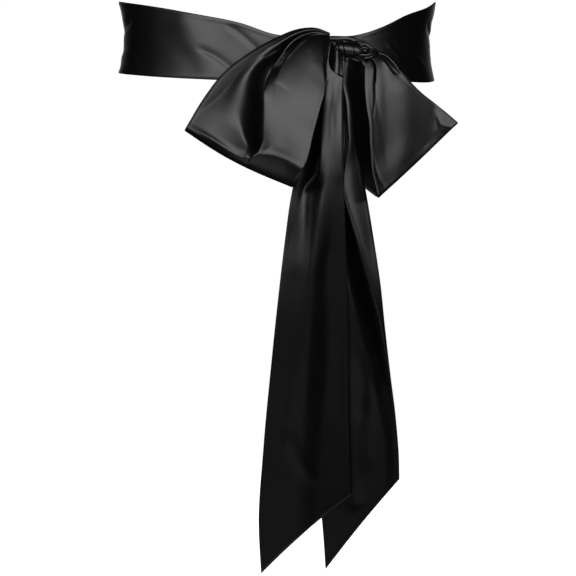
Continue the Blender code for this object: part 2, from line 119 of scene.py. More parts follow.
camera_data = bpy.data.cameras.new("camera")
camera_data.sensor_width = 36.0
camera_data.lens = camera_data.sensor_width * CAMERA_DISTANCE / PICTURE_WIDTH
camera_data.clip_end = 100.0
camera = add_object("camera", camera_data)
towards_camera = Vector((0.0, -math.cos(CAMERA_RISE), math.sin(CAMERA_RISE)))
camera.location = CAMERA_LOOKS_AT + towards_camera * CAMERA_DISTANCE
camera.rotation_euler = turned_to(-towards_camera)
bpy.context.scene.camera = camera
print("lens", round(camera_data.lens), "mm at", tuple(round(c, 3) for c in camera.location))

# %% [markdown]
# ## Shader maths in plain Python
# A shader is a web of small nodes. Wiring them by hand is slow to read, so a `Wire` wraps one socket and
# turns `+`, `-` and `*` into Math nodes, with the reflected forms that let `1 - mask` work. Every other
# node comes from one method, `Shader.node`.

# %% Wires and shaders


class Wire:
    """An output socket that arithmetic works on."""

    def __init__(self, shader, socket):
        self.shader, self.socket = shader, socket

    def math(self, operation, *others):
        """A Math node with this wire as its first input."""
        inputs = dict(enumerate((self, *others)))
        return self.shader.node("Math", {"operation": operation}, inputs)

    def __add__(self, other):
        return self.math("ADD", other)

    def __sub__(self, other):
        return self.math("SUBTRACT", other)

    def __rsub__(self, other):
        return (self * -1.0) + other

    def __mul__(self, other):
        return self.math("MULTIPLY", other)

    __radd__ = __add__
    __rmul__ = __mul__


class Shader:
    """A material with a Principled shader, and one method that adds any node to it."""

    def __init__(self, name):
        self.material = bpy.data.materials.new(name)
        self.material.use_nodes = True
        self.tree = self.material.node_tree
        self.surface = self.tree.nodes["Principled BSDF"]

    def feed(self, socket, value):
        """Links a wire to the socket, or writes a plain value into it."""
        if isinstance(value, Wire):
            self.tree.links.new(value.socket, socket)
        else:
            socket.default_value = value

    def node(self, kind, settings=None, inputs=None, output=0):
        """Adds a node of the kind, with its settings, and gives back one of its outputs."""
        made = self.tree.nodes.new("ShaderNode" + kind)
        for name, value in (settings or {}).items():
            setattr(made, name, value)
        for name, value in (inputs or {}).items():
            self.feed(made.inputs[name], value)
        return Wire(self, made.outputs[output])

    def set(self, **values):
        """Feeds the Principled shader, whose inputs are named with _ for a space."""
        for name, value in values.items():
            self.feed(self.surface.inputs[name.replace("_", " ")], value)


# %% [markdown]
# ## Black satin
# In a satin weave each thread floats over several others before it dips under one. The long floats lie
# side by side like brushed hair: that gives the sheen, and black dye swallows what the sheen does not send
# back. The base colour is therefore almost black, and nearly all that one sees is the reflection. Its
# roughness varies a little from place to place, floats a few millimetres long give the bump, and single
# thicker threads, called slubs, cross them. The pattern reads the piece's own flat cloth map, in metres, so
# it turns with each fold.

# %% Make the satin
SATIN_BLACK = (0.0006, 0.0006, 0.0007, 1.0)
SATIN_LIT_THREAD = (0.0014, 0.0014, 0.0015, 1.0)
SATIN_ROUGHNESS = 0.39
BUMP_HEIGHT = 0.06 * MM
BUMP_STRENGTH = 0.9
SHEEN, SHEEN_ROUGHNESS = 0.003, 0.5
SPECULAR_LEVEL = 0.6
# across and along: size of the noise's spots in mm. start: where in the noise the piece lies. bump and
# roughness: how far it moves each.
Noise = namedtuple("Noise", "across along detail start bump roughness")
FLOATS = Noise(0.22, 2.6, 2.0, 0.0, 0.45, 0.0)
SLUBS = Noise(16.0, 0.5, 1.0, 3.0, 0.25, 0.0)
GRAIN = Noise(0.9, 0.9, 3.0, 7.0, 0.4, 0.14)
CLOUDS = Noise(22.0, 44.0, 2.0, 11.0, 0.0, 0.03)


def cloth_noise(shader, cloth_map, noise, shift):
    """Noise from 0 to 1 whose spots are noise.across by noise.along on the flat cloth."""
    scale = (1 / (noise.across * MM), 1 / (noise.along * MM), 1.0)
    place = {"Vector": cloth_map, "Scale": scale, "Location": (shift + noise.start,) * 3}
    vector = shader.node("Mapping", {}, place)
    return shader.node("TexNoise", {}, {"Vector": vector, "Scale": 1.0, "Detail": noise.detail})


def black_satin(name, shift):
    """Satin for one piece. shift moves its pattern, so that no two pieces are alike."""
    shader = Shader(name)
    cloth_map = shader.node("UVMap", {"uv_map": "cloth"})
    noises = (FLOATS, SLUBS, GRAIN, CLOUDS)
    floats, slubs, grain, clouds = (cloth_noise(shader, cloth_map, noise, shift) for noise in noises)
    # The two colours of a Mix node are its inputs 6 and 7, and the mixed one is its output 2.
    threads = {"Factor": floats, 6: SATIN_BLACK, 7: SATIN_LIT_THREAD}
    colour = shader.node("Mix", {"data_type": "RGBA"}, threads, output=2)
    roughness = SATIN_ROUGHNESS + (grain - 0.5) * GRAIN.roughness + (clouds - 0.5) * CLOUDS.roughness
    height = floats * FLOATS.bump + grain * GRAIN.bump + slubs * SLUBS.bump
    bump = shader.node("Bump", {}, {"Height": height, "Strength": BUMP_STRENGTH, "Distance": BUMP_HEIGHT})
    shader.set(Base_Color=colour, Roughness=roughness, Normal=bump)
    shader.set(Specular_IOR_Level=SPECULAR_LEVEL, Sheen_Weight=SHEEN, Sheen_Roughness=SHEEN_ROUGHNESS)
    shader.material.diffuse_color = SATIN_BLACK
    return shader.material


print("satin floats are", FLOATS.along, "mm long and", FLOATS.across, "mm wide")

# %% [markdown]
# ## Smooth curves, big folds and small creases
# Cloth that is tied falls into a few big folds, which run the length of each stretch, and many small
# creases, which do not. The big folds are rows of a table: each says where the ridge or trough lies across
# the cloth and how far it stands out, at a few stations along it, and smooth curves join them up. A small
# crease is drawn as a short path in the plane of the front view, in millimetres, with a height and a width
# to either side, so that one side may be a soft slope and the other a sharp drop.

# %% Curves and folds
# across: where it lies, in percent of the width. out: how far it stands out, in mm. lean: how far it is
# pushed towards -X, so that it hangs over the trough beside it. Each has a value for every station, or one.
Fold = namedtuple("Fold", "name across out lean", defaults=(0,))
LEAST_SPAN = 0.012  # between two folds, as a share of the width


def smooth_curve(knots, values, at):
    """A cubic Hermite curve through the values; a knot's slope comes from its two neighbours."""
    knots, values = np.asarray(knots, float), np.asarray(values, float)
    slopes = np.gradient(values, knots)
    left = np.clip(np.searchsorted(knots, at, side="right") - 1, 0, len(knots) - 2)
    step = knots[left + 1] - knots[left]
    t = (at - knots[left]) / step
    start = (2 * t**3 - 3 * t**2 + 1) * values[left] + (t**3 - 2 * t**2 + t) * step * slopes[left]
    end = (3 * t**2 - 2 * t**3) * values[left + 1] + (t**3 - t**2) * step * slopes[left + 1]
    return start + end


def table(kind, *rows):
    """A table with a named tuple of the kind for each row."""
    return [kind(*row) for row in rows]


def column(rows, name, at):
    """A table's named column as a smooth curve over its first column."""
    return smooth_curve([row[0] for row in rows], [getattr(row, name) for row in rows], at)


def ease(t):
    """0 up to 0, 1 from 1 on, and a soft S between."""
    t = np.clip(t, 0.0, 1.0)
    return t * t * (3 - 2 * t)


def bell(distance, width):
    """e to the power of minus (distance / width) squared: 1 at no distance, 0.37 at one width."""
    return np.exp(-((distance / width) ** 2))


def between(start, end, share):
    """The start where the share is 0, the end where it is 1."""
    return start + (end - start) * share


def edge_line(rows, edge, axes, at):
    """The coordinates along an edge, from the columns named after the edge and each axis."""
    return [column(rows, edge + "_" + axis, at) for axis in axes]


def relief(folds, stations, across, along, field="out"):
    """Height of the folded cloth, or its lean. Across it, cubic curves join one ridge or trough to the
    next. At each the slope is the harmonic mean of those beside it, or 0 where the cloth turns back."""
    across, along = np.broadcast_arrays(across, along)

    def curves(name):
        """The folds' values in one column, as smooth curves along the cloth."""
        values = [np.broadcast_to(getattr(fold, name), len(stations)) for fold in folds]
        return np.stack([smooth_curve(stations, value, along) for value in values])

    places, heights = curves("across") / 100, curves(field)
    for k in range(1, len(folds)):
        places[k] = np.maximum(places[k], places[k - 1] + LEAST_SPAN)
    span = np.diff(places, axis=0)
    slope = np.diff(heights, axis=0) / span
    both = slope[:-1] * slope[1:]
    inner = np.where(both > 0, 2 * both / np.where(both > 0, slope[:-1] + slope[1:], 1), 0)
    slope = np.concatenate([slope[:1], inner, slope[-1:]])
    height = heights[0]
    for k in range(len(folds) - 1):
        t = np.clip((across - places[k]) / span[k], 0, 1)
        rise = (t**3 - 2 * t**2 + t) * slope[k] + (t**3 - t**2) * slope[k + 1]
        step = between(heights[k], heights[k + 1], ease(t)) + rise * span[k]
        height = np.where(across >= places[k], step, height)
    return height


print("ease takes 0.25, 0.5 and 0.75 to", ease(np.array([0.25, 0.5, 0.75])).round(2))

# %% Creases drawn as paths
# path: (x, z) points. out: height, or depth if below 0. left, right: how wide it is on the left and on the
# right of someone who walks along the path.
Crease = namedtuple("Crease", "name path out left right")
CREASE_FADE = 0.22  # the share of its path over which a crease rises at each end
PATH_STEPS = 16
CREASE_REACH = 3  # the crease is left out beyond this many of its widths


def crease_height(creases, x, z):
    """The sum of all creases at (x, z): for each, out times a bell curve of the distance to its path."""
    total = np.zeros(np.broadcast(x, z).shape)
    for crease in creases:
        knots = np.arange(len(crease.path))
        fine = np.linspace(0, len(crease.path) - 1, PATH_STEPS + 1)
        path = np.stack([smooth_curve(knots, values, fine) for values in zip(*crease.path)], -1)
        reach = CREASE_REACH * max(crease.left, crease.right)
        low, high = path.min(0) - reach, path.max(0) + reach
        near = (x > low[0]) & (x < high[0]) & (z > low[1]) & (z < high[1])
        px, pz = x[near], z[near]
        nearest = np.full(px.shape, np.inf)
        side, place = np.zeros(px.shape), np.zeros(px.shape)
        for k, (start, end) in enumerate(zip(path[:-1], path[1:])):
            dx, dz = end - start
            squared = max(dx * dx + dz * dz, TINY)
            t = np.clip(((px - start[0]) * dx + (pz - start[1]) * dz) / squared, 0, 1)
            off_x, off_z = px - start[0] - t * dx, pz - start[1] - t * dz
            distance = np.hypot(off_x, off_z)
            closer = distance < nearest
            nearest = np.where(closer, distance, nearest)
            side = np.where(closer, dx * off_z - dz * off_x, side)
            place = np.where(closer, (k + t) / PATH_STEPS, place)
        width = np.where(side > 0, crease.left, crease.right)
        fade = ease(place / CREASE_FADE) * ease((1 - place) / CREASE_FADE)
        total[near] += crease.out * bell(nearest, width) * fade
    return total


sample = crease_height([Crease("sample", ((-9, 0), (9, 0)), 1, 1, 1)], np.zeros(3), np.array([0.0, 1.0, 2.0]))
print("a crease 1 mm high and wide stands", sample.round(2), "mm high at 0, 1 and 2 mm from its path")

# %% [markdown]
# No cloth is perfectly smooth between its folds. A sum of a few long, shallow waves that run in different
# directions never repeats over one piece, and breaks up reflections that would otherwise look machined.

# %% Slack between the folds
SLACK_WAVES = ((0.2, 17.0), (1.1, 26.0), (1.9, 21.0), (2.7, 38.0))  # direction in radians, length in mm
FULL_HEIGHT_WAVE = 26.0  # the length of a wave that has the height asked for
SLACK_START = 2.3  # how far the seed shifts the next wave's start


def slack(across_mm, along_mm, height, seed):
    """Four sine waves, each with its own direction, length and start, added up."""
    total = 0.0
    for k, (turn, length) in enumerate(SLACK_WAVES):
        run = across_mm * math.cos(turn + seed) + along_mm * math.sin(turn + seed)
        wave = np.sin(run * 2 * math.pi / length + seed * (k + 1) * SLACK_START)
        total = total + wave * length / FULL_HEIGHT_WAVE
    return height * total / len(SLACK_WAVES)


print("slack 1 mm high reaches", slack(*np.mgrid[0:100, 0:300], 1.0, 0.0).max().round(2), "mm")

# %% [markdown]
# ## From a surface to cloth
# Each stretch is worked out as one surface, the middle of the cloth. Real sash cloth is a flattened tube:
# two layers, joined round its edges, a little fuller just inside the edge, where the seam's turnings lie.
# So the surface is offset to both sides along its normals by half a thickness that rises from nothing at
# the border, in a quarter circle, and swells a little just inside it. The two offset layers share their
# border points, which closes the mesh with no separate rim.

# %% Grids of points and the cloth's thickness
CLOTH_HALF = 0.42  # half of two pressed layers
EDGE_ROUND = 0.6  # how far in from the border the cloth reaches its thickness
SEAM_PLACE, SEAM_WIDTH, SEAM_SWELL = 2.2, 1.0, 0.16  # the turnings inside the edge
NEAR_EDGE = (0.0, 0.0015, 0.004, 0.008, 0.014, 0.022)  # shares of the width with a grid line of their own
MIDDLE_FROM = 0.032  # from here on the grid lines are even


def edge_dense(count):
    """Places from 0 to 1, even in the middle and close together at both ends."""
    near = np.array(NEAR_EDGE)
    middle = np.linspace(MIDDLE_FROM, 1 - MIDDLE_FROM, count - 2 * len(near))
    return np.concatenate([near, middle, 1 - near[::-1]])


def tube_grid(places, count):
    """A tube's grid: the places along its rows, and count even shares of the way round it, all below 1."""
    return np.meshgrid(places, np.linspace(0, 1, count, endpoint=False))


def distance_along(points, axis):
    """Length run along one axis of the grid of points, up to each point."""
    steps = np.linalg.norm(np.diff(points, axis=axis), axis=-1)
    start = np.zeros_like(np.take(steps, [0], axis=axis))
    return np.cumsum(np.concatenate([start, steps], axis=axis), axis=axis)


def half_thickness(points, tube):
    """A quarter circle up from the border, and a soft swelling where the turnings lie."""
    run = distance_along(points, 1)
    edge = np.minimum(run, run[:, -1:] - run)
    if not tube:
        run = distance_along(points, 0)
        edge = np.minimum(edge, np.minimum(run, run[-1:] - run))
    rise = np.sqrt(1 - (1 - np.clip(edge / EDGE_ROUND, 0, 1)) ** 2)
    return CLOTH_HALF * rise + SEAM_SWELL * bell(edge - SEAM_PLACE, SEAM_WIDTH) * rise


def normals_of(points, tube):
    """Unit normals of the surface, from the cross product of its two directions."""
    if tube:
        along = np.roll(points, -1, axis=0) - np.roll(points, 1, axis=0)
    else:
        along = np.gradient(points, axis=0)
    across = np.gradient(points, axis=1)
    normal = np.cross(across, along)
    return normal / np.maximum(np.linalg.norm(normal, axis=-1, keepdims=True), TINY)


print("places across a coarse grid:", edge_dense(15).round(3))

# %% [markdown]
# ### From the two layers to a mesh
# Each cell of the grid becomes a face of either layer. The back one's corners run the other way round, so
# that its face looks outwards too. Every face corner also notes where it lies on the flat cloth: this is the
# map that the satin follows. The bunched folds at the knot show their outside alone, so they are plain
# closed tubes that end in points.

# %% A mesh from the layers
SAME_PLACE = 0.0001 * MM  # points closer than this are one


def mesh_piece(name, places, faces, flat):
    """A smooth mesh object. places and flat, where each face corner lies on the cloth, are in mm."""
    mesh = bpy.data.meshes.new(name)
    mesh.from_pydata((places * MM).tolist(), [], faces.tolist())
    mesh.uv_layers.new(name="cloth").data.foreach_set("uv", (flat * MM).reshape(-1))
    mesh.shade_smooth()
    return add_object(name, mesh)


def cell_corners(rows, columns):
    """Row and column of the four corners of each cell, as two arrays with a line for each cell."""
    row, place = np.meshgrid(np.arange(rows), np.arange(columns), indexing="ij")
    corner_rows = np.stack([row, row, row + 1, row + 1], -1)
    corner_columns = np.stack([place, place + 1, place + 1, place], -1)
    return corner_rows.reshape(-1, 4), corner_columns.reshape(-1, 4)


def map_with_end(cloth_map):
    """A tube's cloth map with one more row, where its last row joins its first one."""
    step_past = 2 * cloth_map[-1, 0, 1] - cloth_map[-2, 0, 1]
    return np.concatenate([cloth_map, cloth_map[:1] + [0, step_past]])


def cloth_piece(name, points, cloth_map, tube=False):
    """A closed mesh round a surface. points: middle of the cloth in mm, a row for each step along it.
    cloth_map: where each point lies on the flat cloth, in mm. A tube's last row joins its first one."""
    rows, columns = points.shape[:2]
    offset = normals_of(points, tube) * half_thickness(points, tube)[..., None]
    border = np.zeros((rows, columns), bool)
    border[:, [0, -1]] = True
    if not tube:
        border[[0, -1]] = True
    front = np.arange(rows * columns).reshape(rows, columns)
    back = front.copy()
    back[~border] = rows * columns + np.arange((~border).sum())
    places = np.concatenate([(points + offset).reshape(-1, 3), (points - offset)[~border]])

    corner_rows, corner_columns = cell_corners(rows if tube else rows - 1, columns - 1)
    corners = corner_rows % rows, corner_columns
    faces = np.concatenate([front[corners], back[corners][:, ::-1]])
    if tube:
        cloth_map = map_with_end(cloth_map)
    flat = cloth_map[corner_rows, corner_columns]
    return mesh_piece(name, places, faces, np.concatenate([flat, flat[:, ::-1]]))


def closed_body(name, bodies):
    """A mesh of closed tubes, each given as (points, cloth_map). A tube's first and last columns each meet
    in one point, so the faces there are quads with two corners in one place; merging makes them triangles."""
    places, faces, flat, before = [], [], [], 0
    for points, cloth_map in bodies:
        rows, columns = points.shape[:2]
        corner_rows, corner_columns = cell_corners(rows, columns - 1)
        index = np.arange(rows * columns).reshape(rows, columns) + before
        places.append(points.reshape(-1, 3))
        faces.append(index[corner_rows % rows, corner_columns])
        flat.append(map_with_end(cloth_map)[corner_rows, corner_columns])
        before += rows * columns
    piece = mesh_piece(name, np.concatenate(places), np.concatenate(faces), np.concatenate(flat))
    shape = bmesh.new()
    shape.from_mesh(piece.data)
    bmesh.ops.remove_doubles(shape, verts=shape.verts, dist=SAME_PLACE)
    shape.to_mesh(piece.data)
    shape.free()
    return piece


# %% [markdown]
# ### Dressing a piece
# A piece is finished when it has its satin, the body that carries it and the solids that it stands for. What
# shows of it is measured too, because a gathered or folded stretch takes more cloth than it shows.


# %% Dress a piece and measure it
def dress(piece, shift, *nodes):
    """Gives a piece its satin, the body that carries it and the solids that it stands for."""
    piece.data.materials.append(black_satin(piece.name + "_satin", shift))
    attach(piece, BODY)
    if nodes:
        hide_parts(*nodes)


def flat_map(across, along, width, length):
    """Where each point lies on the flat cloth: across times the width, and along times the length."""
    return np.stack(np.broadcast_arrays(across * width, along * length), -1)


def area_of(points, tube=False):
    """Area of the surface, as the sum of its cells, in square metres."""
    if tube:
        points = np.concatenate([points, points[:1]])
    one, other = np.diff(points, axis=0)[:, :-1], np.diff(points, axis=1)[:-1]
    return float(np.linalg.norm(np.cross(one, other), axis=-1).sum()) * MM * MM


def report(piece, points, tube=False):
    """Prints how fine the mesh is, and how much cloth the surface takes."""
    triangles = len(piece.data.loops) - 2 * len(piece.data.polygons)
    print(f"{piece.name}: {triangles} triangles, {area_of(points, tube):.4f} m2 of cloth")


# %% [markdown]
# ## The band
# The band is the same strip, folded lengthwise and wound once round the waist. Its middle is an ellipse in
# plan, swept between the heights of its two edges, which rise at the wearer's sides and dip in front and at
# the back. A cloth simulation could wrap it, but the pull of the knot, which decides where it dimples, would
# have to be guessed in any case, so the folds are given one by one. Creases are drawn on the unrolled band:
# the first number is the turn round the waist in degrees, the second the height in millimetres.

# %% The band's tables
WAIST_HALF_WIDTH = 121.0
WAIST_HALF_DEPTH = 90.0
KNOT_TURN = -27.3  # degrees round from the front middle to the knot
BAND_LENGTH = 686.0
BAND_WIDTH = 50.0
BAND_SLACK, BAND_SEED = 0.15, 0.4
BAND_GRID = (58, 520)  # points across the band and round it
DEGREE = 1.88  # mm round the waist for each degree of turn

WaistRow = namedtuple("WaistRow", "turn top bottom stand_off")
WAIST_ROWS = table(
    WaistRow,
    (-39, 9.8, -30, 7.3),
    (-33, 5.9, -28, 7.6),
    (-27.3, 3.4, -26, 7.5),
    (-20, 3.2, -27, 4.5),
    (-12, 3, -29, 2.5),
    (0, 4.2, -30.5, 0.5),
    (13.5, 13.3, -31.4, 0),
    (29.5, 19.7, -30.5, 0),
    (49, 25.5, -29, 0),
    (70, 29.2, -27.3, 0),
    (90, 30.4, -26.4, 0),
    (110, 27, -27.3, 0),
    (130, 21, -28.8, 0),
    (155, 10.5, -31, 0),
    (180, 2.5, -37, 0),
    (205, 2.5, -37, 0),
    (220, 8, -34.5, 0),
    (235, 16, -32.8, 0),
    (250, 22.5, -32, 0),
    (270, 30.4, -32.6, 0),
    (291, 24.9, -33.6, 1),
    (307.5, 19, -32.5, 4),
)
WAIST_ROWS += [row._replace(turn=row.turn + 360) for row in WAIST_ROWS[:4]]  # the knot, met again
WAIST_STATIONS = (-50, -27.3, 0, 45, 90, 180, 270, 310, 332.7, 360)
WAIST_FOLDS = table(
    Fold,
    ("top_edge", 0, (1.2, 0, 0.4, 0.9, 5, 4, 5.2, 1.2, 0, 0.4)),
    ("lip", (18, 20, 18, 16, 16, 15, 15, 18, 20, 18), (0.8, 0.2, 0.4, 0.6, 2.8, 3.6, 3.8, 0.8, 0.2, 0.4)),
    ("under_lip", (35, 40, 42, 40, 40, 35, 30, 35, 40, 42),
     (0.5, 0.1, 0.3, 0.3, 0.9, 1.6, 1.6, 0.5, 0.1, 0.3)),
    ("middle", (60, 60, 62, 60, 60, 55, 54, 60, 60, 62),
     (0.5, 0.1, 0.3, 0.3, 0.8, 2.2, 0.6, 0.5, 0.1, 0.3)),
    ("low_trough", (80, 80, 80, 80, 80, 75, 74, 80, 80, 80),
     (0.7, 0.1, 0.3, 0.6, 2.2, 1.2, 1.2, 0.7, 0.1, 0.3)),
    ("bottom_edge", 100, (1.4, 0.2, 0.5, 1.2, 5.2, 3.4, 4.2, 1.4, 0.2, 0.5)),
)
BAND_CREASES = table(
    Crease,
    ("left lit lip", ((-13, 1.2), (-18.5, 0.9), (-24.5, 0.6)), 0.7, 1.2, 1.8),
    ("right lit lip", ((-22.5, 2.8), (-26.5, 0.2), (-32.5, -3.6)), 0.9, 1.4, 1.8),
    ("between the lips", ((-23.8, 3.4), (-24.8, 0.6), (-26.2, -2.6), (-29, -5.6)), -0.8, 0.9, 1.1),
    ("shade under the lips", ((-13, -2.6), (-20, -3), (-26.5, -5)), -0.5, 1.8, 2.6),
    ("dimple by the bow", ((20, 13), (16, 8), (12.8, 3), (10.3, -1.5), (7.5, -7), (5, -13)), -0.75, 1.8,
     3.4),
    ("low dimple", ((32, -4.5), (26.5, -9.5), (22.2, -14.3), (18.5, -20), (14.5, -27), (12, -33)), -0.75,
     1.8, 3.4),
    ("turn of the waist", ((40, 30), (33, 6), (26, -18), (20.5, -40)), 1.5, 12, 12),
    ("right pull", ((315, -1), (308, -9), (298, -15), (286, -21)), 0.5, 2, 2.6),
    ("right under it", ((312, -9), (303, -17), (292, -25)), -0.5, 2, 3),
    ("right short", ((319, -2), (313, -11), (309, -18)), 0.7, 1.4, 1.8),
    ("right side", ((288, 14), (276, 4), (262, 0)), -0.9, 4, 3),
    ("left side", ((66, 18), (82, 8), (100, 4)), -0.7, 5, 3),
    ("left side low", ((60, -16), (78, -12), (96, -17)), 0.7, 3, 4),
    ("back pull", ((128, 2), (146, -8), (168, -12)), -1, 3, 5),
    ("back ridge", ((150, 0), (172, -16), (190, -20)), 0.9, 4, 2.4),
    ("back low", ((186, -27), (204, -24), (222, -28)), 0.8, 3, 3),
    ("back right pull", ((205, -8), (222, -10), (243, -2)), -1.1, 3.5, 4.5),
    ("back right ridge", ((212, -2), (232, -2), (252, 8)), 0.8, 3, 2.5),
)
print(len(WAIST_FOLDS), "folds run round the band, and", len(BAND_CREASES), "creases are drawn on it")


# %% Make the band
def band_points(across, along):
    """An ellipse round the waist, its half axes grown by how far the folds, creases and slack stand out.
    Across the band the height runs from its upper edge to its lower one."""
    turn = KNOT_TURN + along * 360.0
    angle = np.radians(turn)
    z = between(column(WAIST_ROWS, "top", turn), column(WAIST_ROWS, "bottom", turn), across)
    out = column(WAIST_ROWS, "stand_off", turn) + relief(WAIST_FOLDS, WAIST_STATIONS, across, turn)
    unrolled = [
        crease._replace(path=[((degrees + round_again) * DEGREE, height) for degrees, height in crease.path])
        for crease in BAND_CREASES
        for round_again in (0, 360)
    ]
    out = out + crease_height(unrolled, turn * DEGREE, z)
    out = out + slack(across * BAND_WIDTH, along * BAND_LENGTH, BAND_SLACK, BAND_SEED)
    x = -(WAIST_HALF_WIDTH + out) * np.sin(angle)
    y = -(WAIST_HALF_DEPTH + out) * np.cos(angle)
    return np.stack([x, y, z], -1)


across, along = tube_grid(edge_dense(BAND_GRID[0]), BAND_GRID[1])
points = band_points(across, along)
band = cloth_piece("band", points, flat_map(across, along, BAND_WIDTH, BAND_LENGTH), tube=True)
dress(band, 1.0, "waist_band")
report(band, points, tube=True)

# %% [markdown]
# ## The bow's loops
# A loop starts at the knot, runs out, turns back behind itself and runs in again, so it is a flattened
# tunnel. Both layers share one upper selvedge, and each has a lower one. The function goes from the knot
# to the far fold and back in one sheet: an angle called swing is 0 all along the front layer, goes to 180
# degrees over the far turn and stays there along the back one. Its cosine carries the cloth from front to
# back, and its sine makes the turn round. Blowing the loop up with a pressure simulation would give the
# belly but not these folds, so the belly is a sine across the cloth and the folds are tables again.

# %% The loops' shared function
LoopRow = namedtuple(
    "LoopRow",
    "along upper_x upper_y upper_z lower_x lower_y lower_z behind_x behind_y behind_z swell",
)
# turn: (across, length of the far turn there, as a share of the loop). rim: a soft ridge beside the far
# turn (height, how much of the turn's length in from the far fold, width). mouths: the share of the swell
# left at the selvedges of the front and back layer. bow: how far the far fold curves outwards, as a share.
Loop = namedtuple(
    "Loop",
    "rows stations folds back_stations back_folds turn bow rim mouths creases back_creases width length seed",
)
LOOP_HALF_GAP = 1.1
CLOTH_SLACK = 0.10  # height of the slack in the loops and tails
LOOP_SLACK_RISE = 4  # the slack grows over one part in so many of the loop's length


def loop_points(loop, across, along_front, along_turn, along_back):
    """Front layer, half turn and back layer of a loop, in rows from the knot and back to it. A point lies
    between the two selvedges, and out times the cosine of swing before them."""
    reach = np.concatenate([along_front[:-1], np.ones(len(along_turn)), along_back[1:]])[:, None]
    swing = np.concatenate(
        [np.zeros(len(along_front) - 1), along_turn * math.pi, np.full(len(along_back) - 1, math.pi)]
    )[:, None]
    across = across[None, :]
    turn_length = smooth_curve(*zip(*loop.turn), across)
    along = reach * (1 - turn_length) + turn_length * np.sin(swing)
    along = along * (1 + loop.bow * np.sin(math.pi * across))
    across = across + np.zeros_like(along)
    behind = ease(swing / math.pi * 2 - 1)  # 0 up to the middle of the far turn, 1 from its end on

    upper, lower, hidden = (edge_line(loop.rows, edge, "xyz", along) for edge in ("upper", "lower", "behind"))
    lower = [between(*ends, behind) for ends in zip(lower, hidden)]
    x, y, z = (between(*ends, across) for ends in zip(upper, lower))

    swell = column(loop.rows, "swell", along)
    belly = np.sin(math.pi * across)
    height, inset, width = loop.rim
    rim = height * bell(along - 1 + inset * turn_length, width)

    def layer(mouth, folds, stations, creases):
        """How far one layer stands out: half the gap, its swell, its folds and its creases."""
        full = LOOP_HALF_GAP + swell * (mouth + (1 - mouth) * belly)
        return full + relief(folds, stations, across, along) + crease_height(creases, x, z)

    front_out = layer(loop.mouths[0], loop.folds, loop.stations, loop.creases) + rim
    back_out = layer(loop.mouths[1], loop.back_folds, loop.back_stations, loop.back_creases)
    out = front_out * (1 - behind) + back_out * behind
    rise = ease(along * LOOP_SLACK_RISE)
    out = out + slack(across * loop.width, along * loop.length, CLOTH_SLACK, loop.seed) * rise
    facing = np.clip(np.cos(swing), 0, 1) ** 2
    x = x - relief(loop.folds, loop.stations, across, along, "lean") * facing
    return np.stack([x, y - out * np.cos(swing), z], -1)


def make_loop(name, loop, counts, shift, node):
    """Grids of counts = (across, front, turn, back) steps, turned into cloth."""
    across = edge_dense(counts[0])
    front = np.linspace(0, 1, counts[1])
    points = loop_points(loop, across, front, np.linspace(0, 1, counts[2]), np.linspace(1, 0, counts[3]))
    share = distance_along(points, 0).mean(axis=1)
    share = share / share[-1]
    places = flat_map(across[None, :], share[:, None], loop.width, 2 * loop.length)
    piece = cloth_piece(name, points, places)
    dress(piece, shift, node)
    report(piece, points)
    return piece


# %% [markdown]
# ### The left loop
# Seen from the front it is the largest piece. From the knot a flap falls over a deep black valley, and a
# full, bright bulge fills the right half. The valley has a soft left side and a steep right one, which the
# places of `slope` and `crest`, far from and close to the `valley` between them, bring about. A second,
# short slit runs beside it near the knot. Along the far fold a thin rim catches the light.

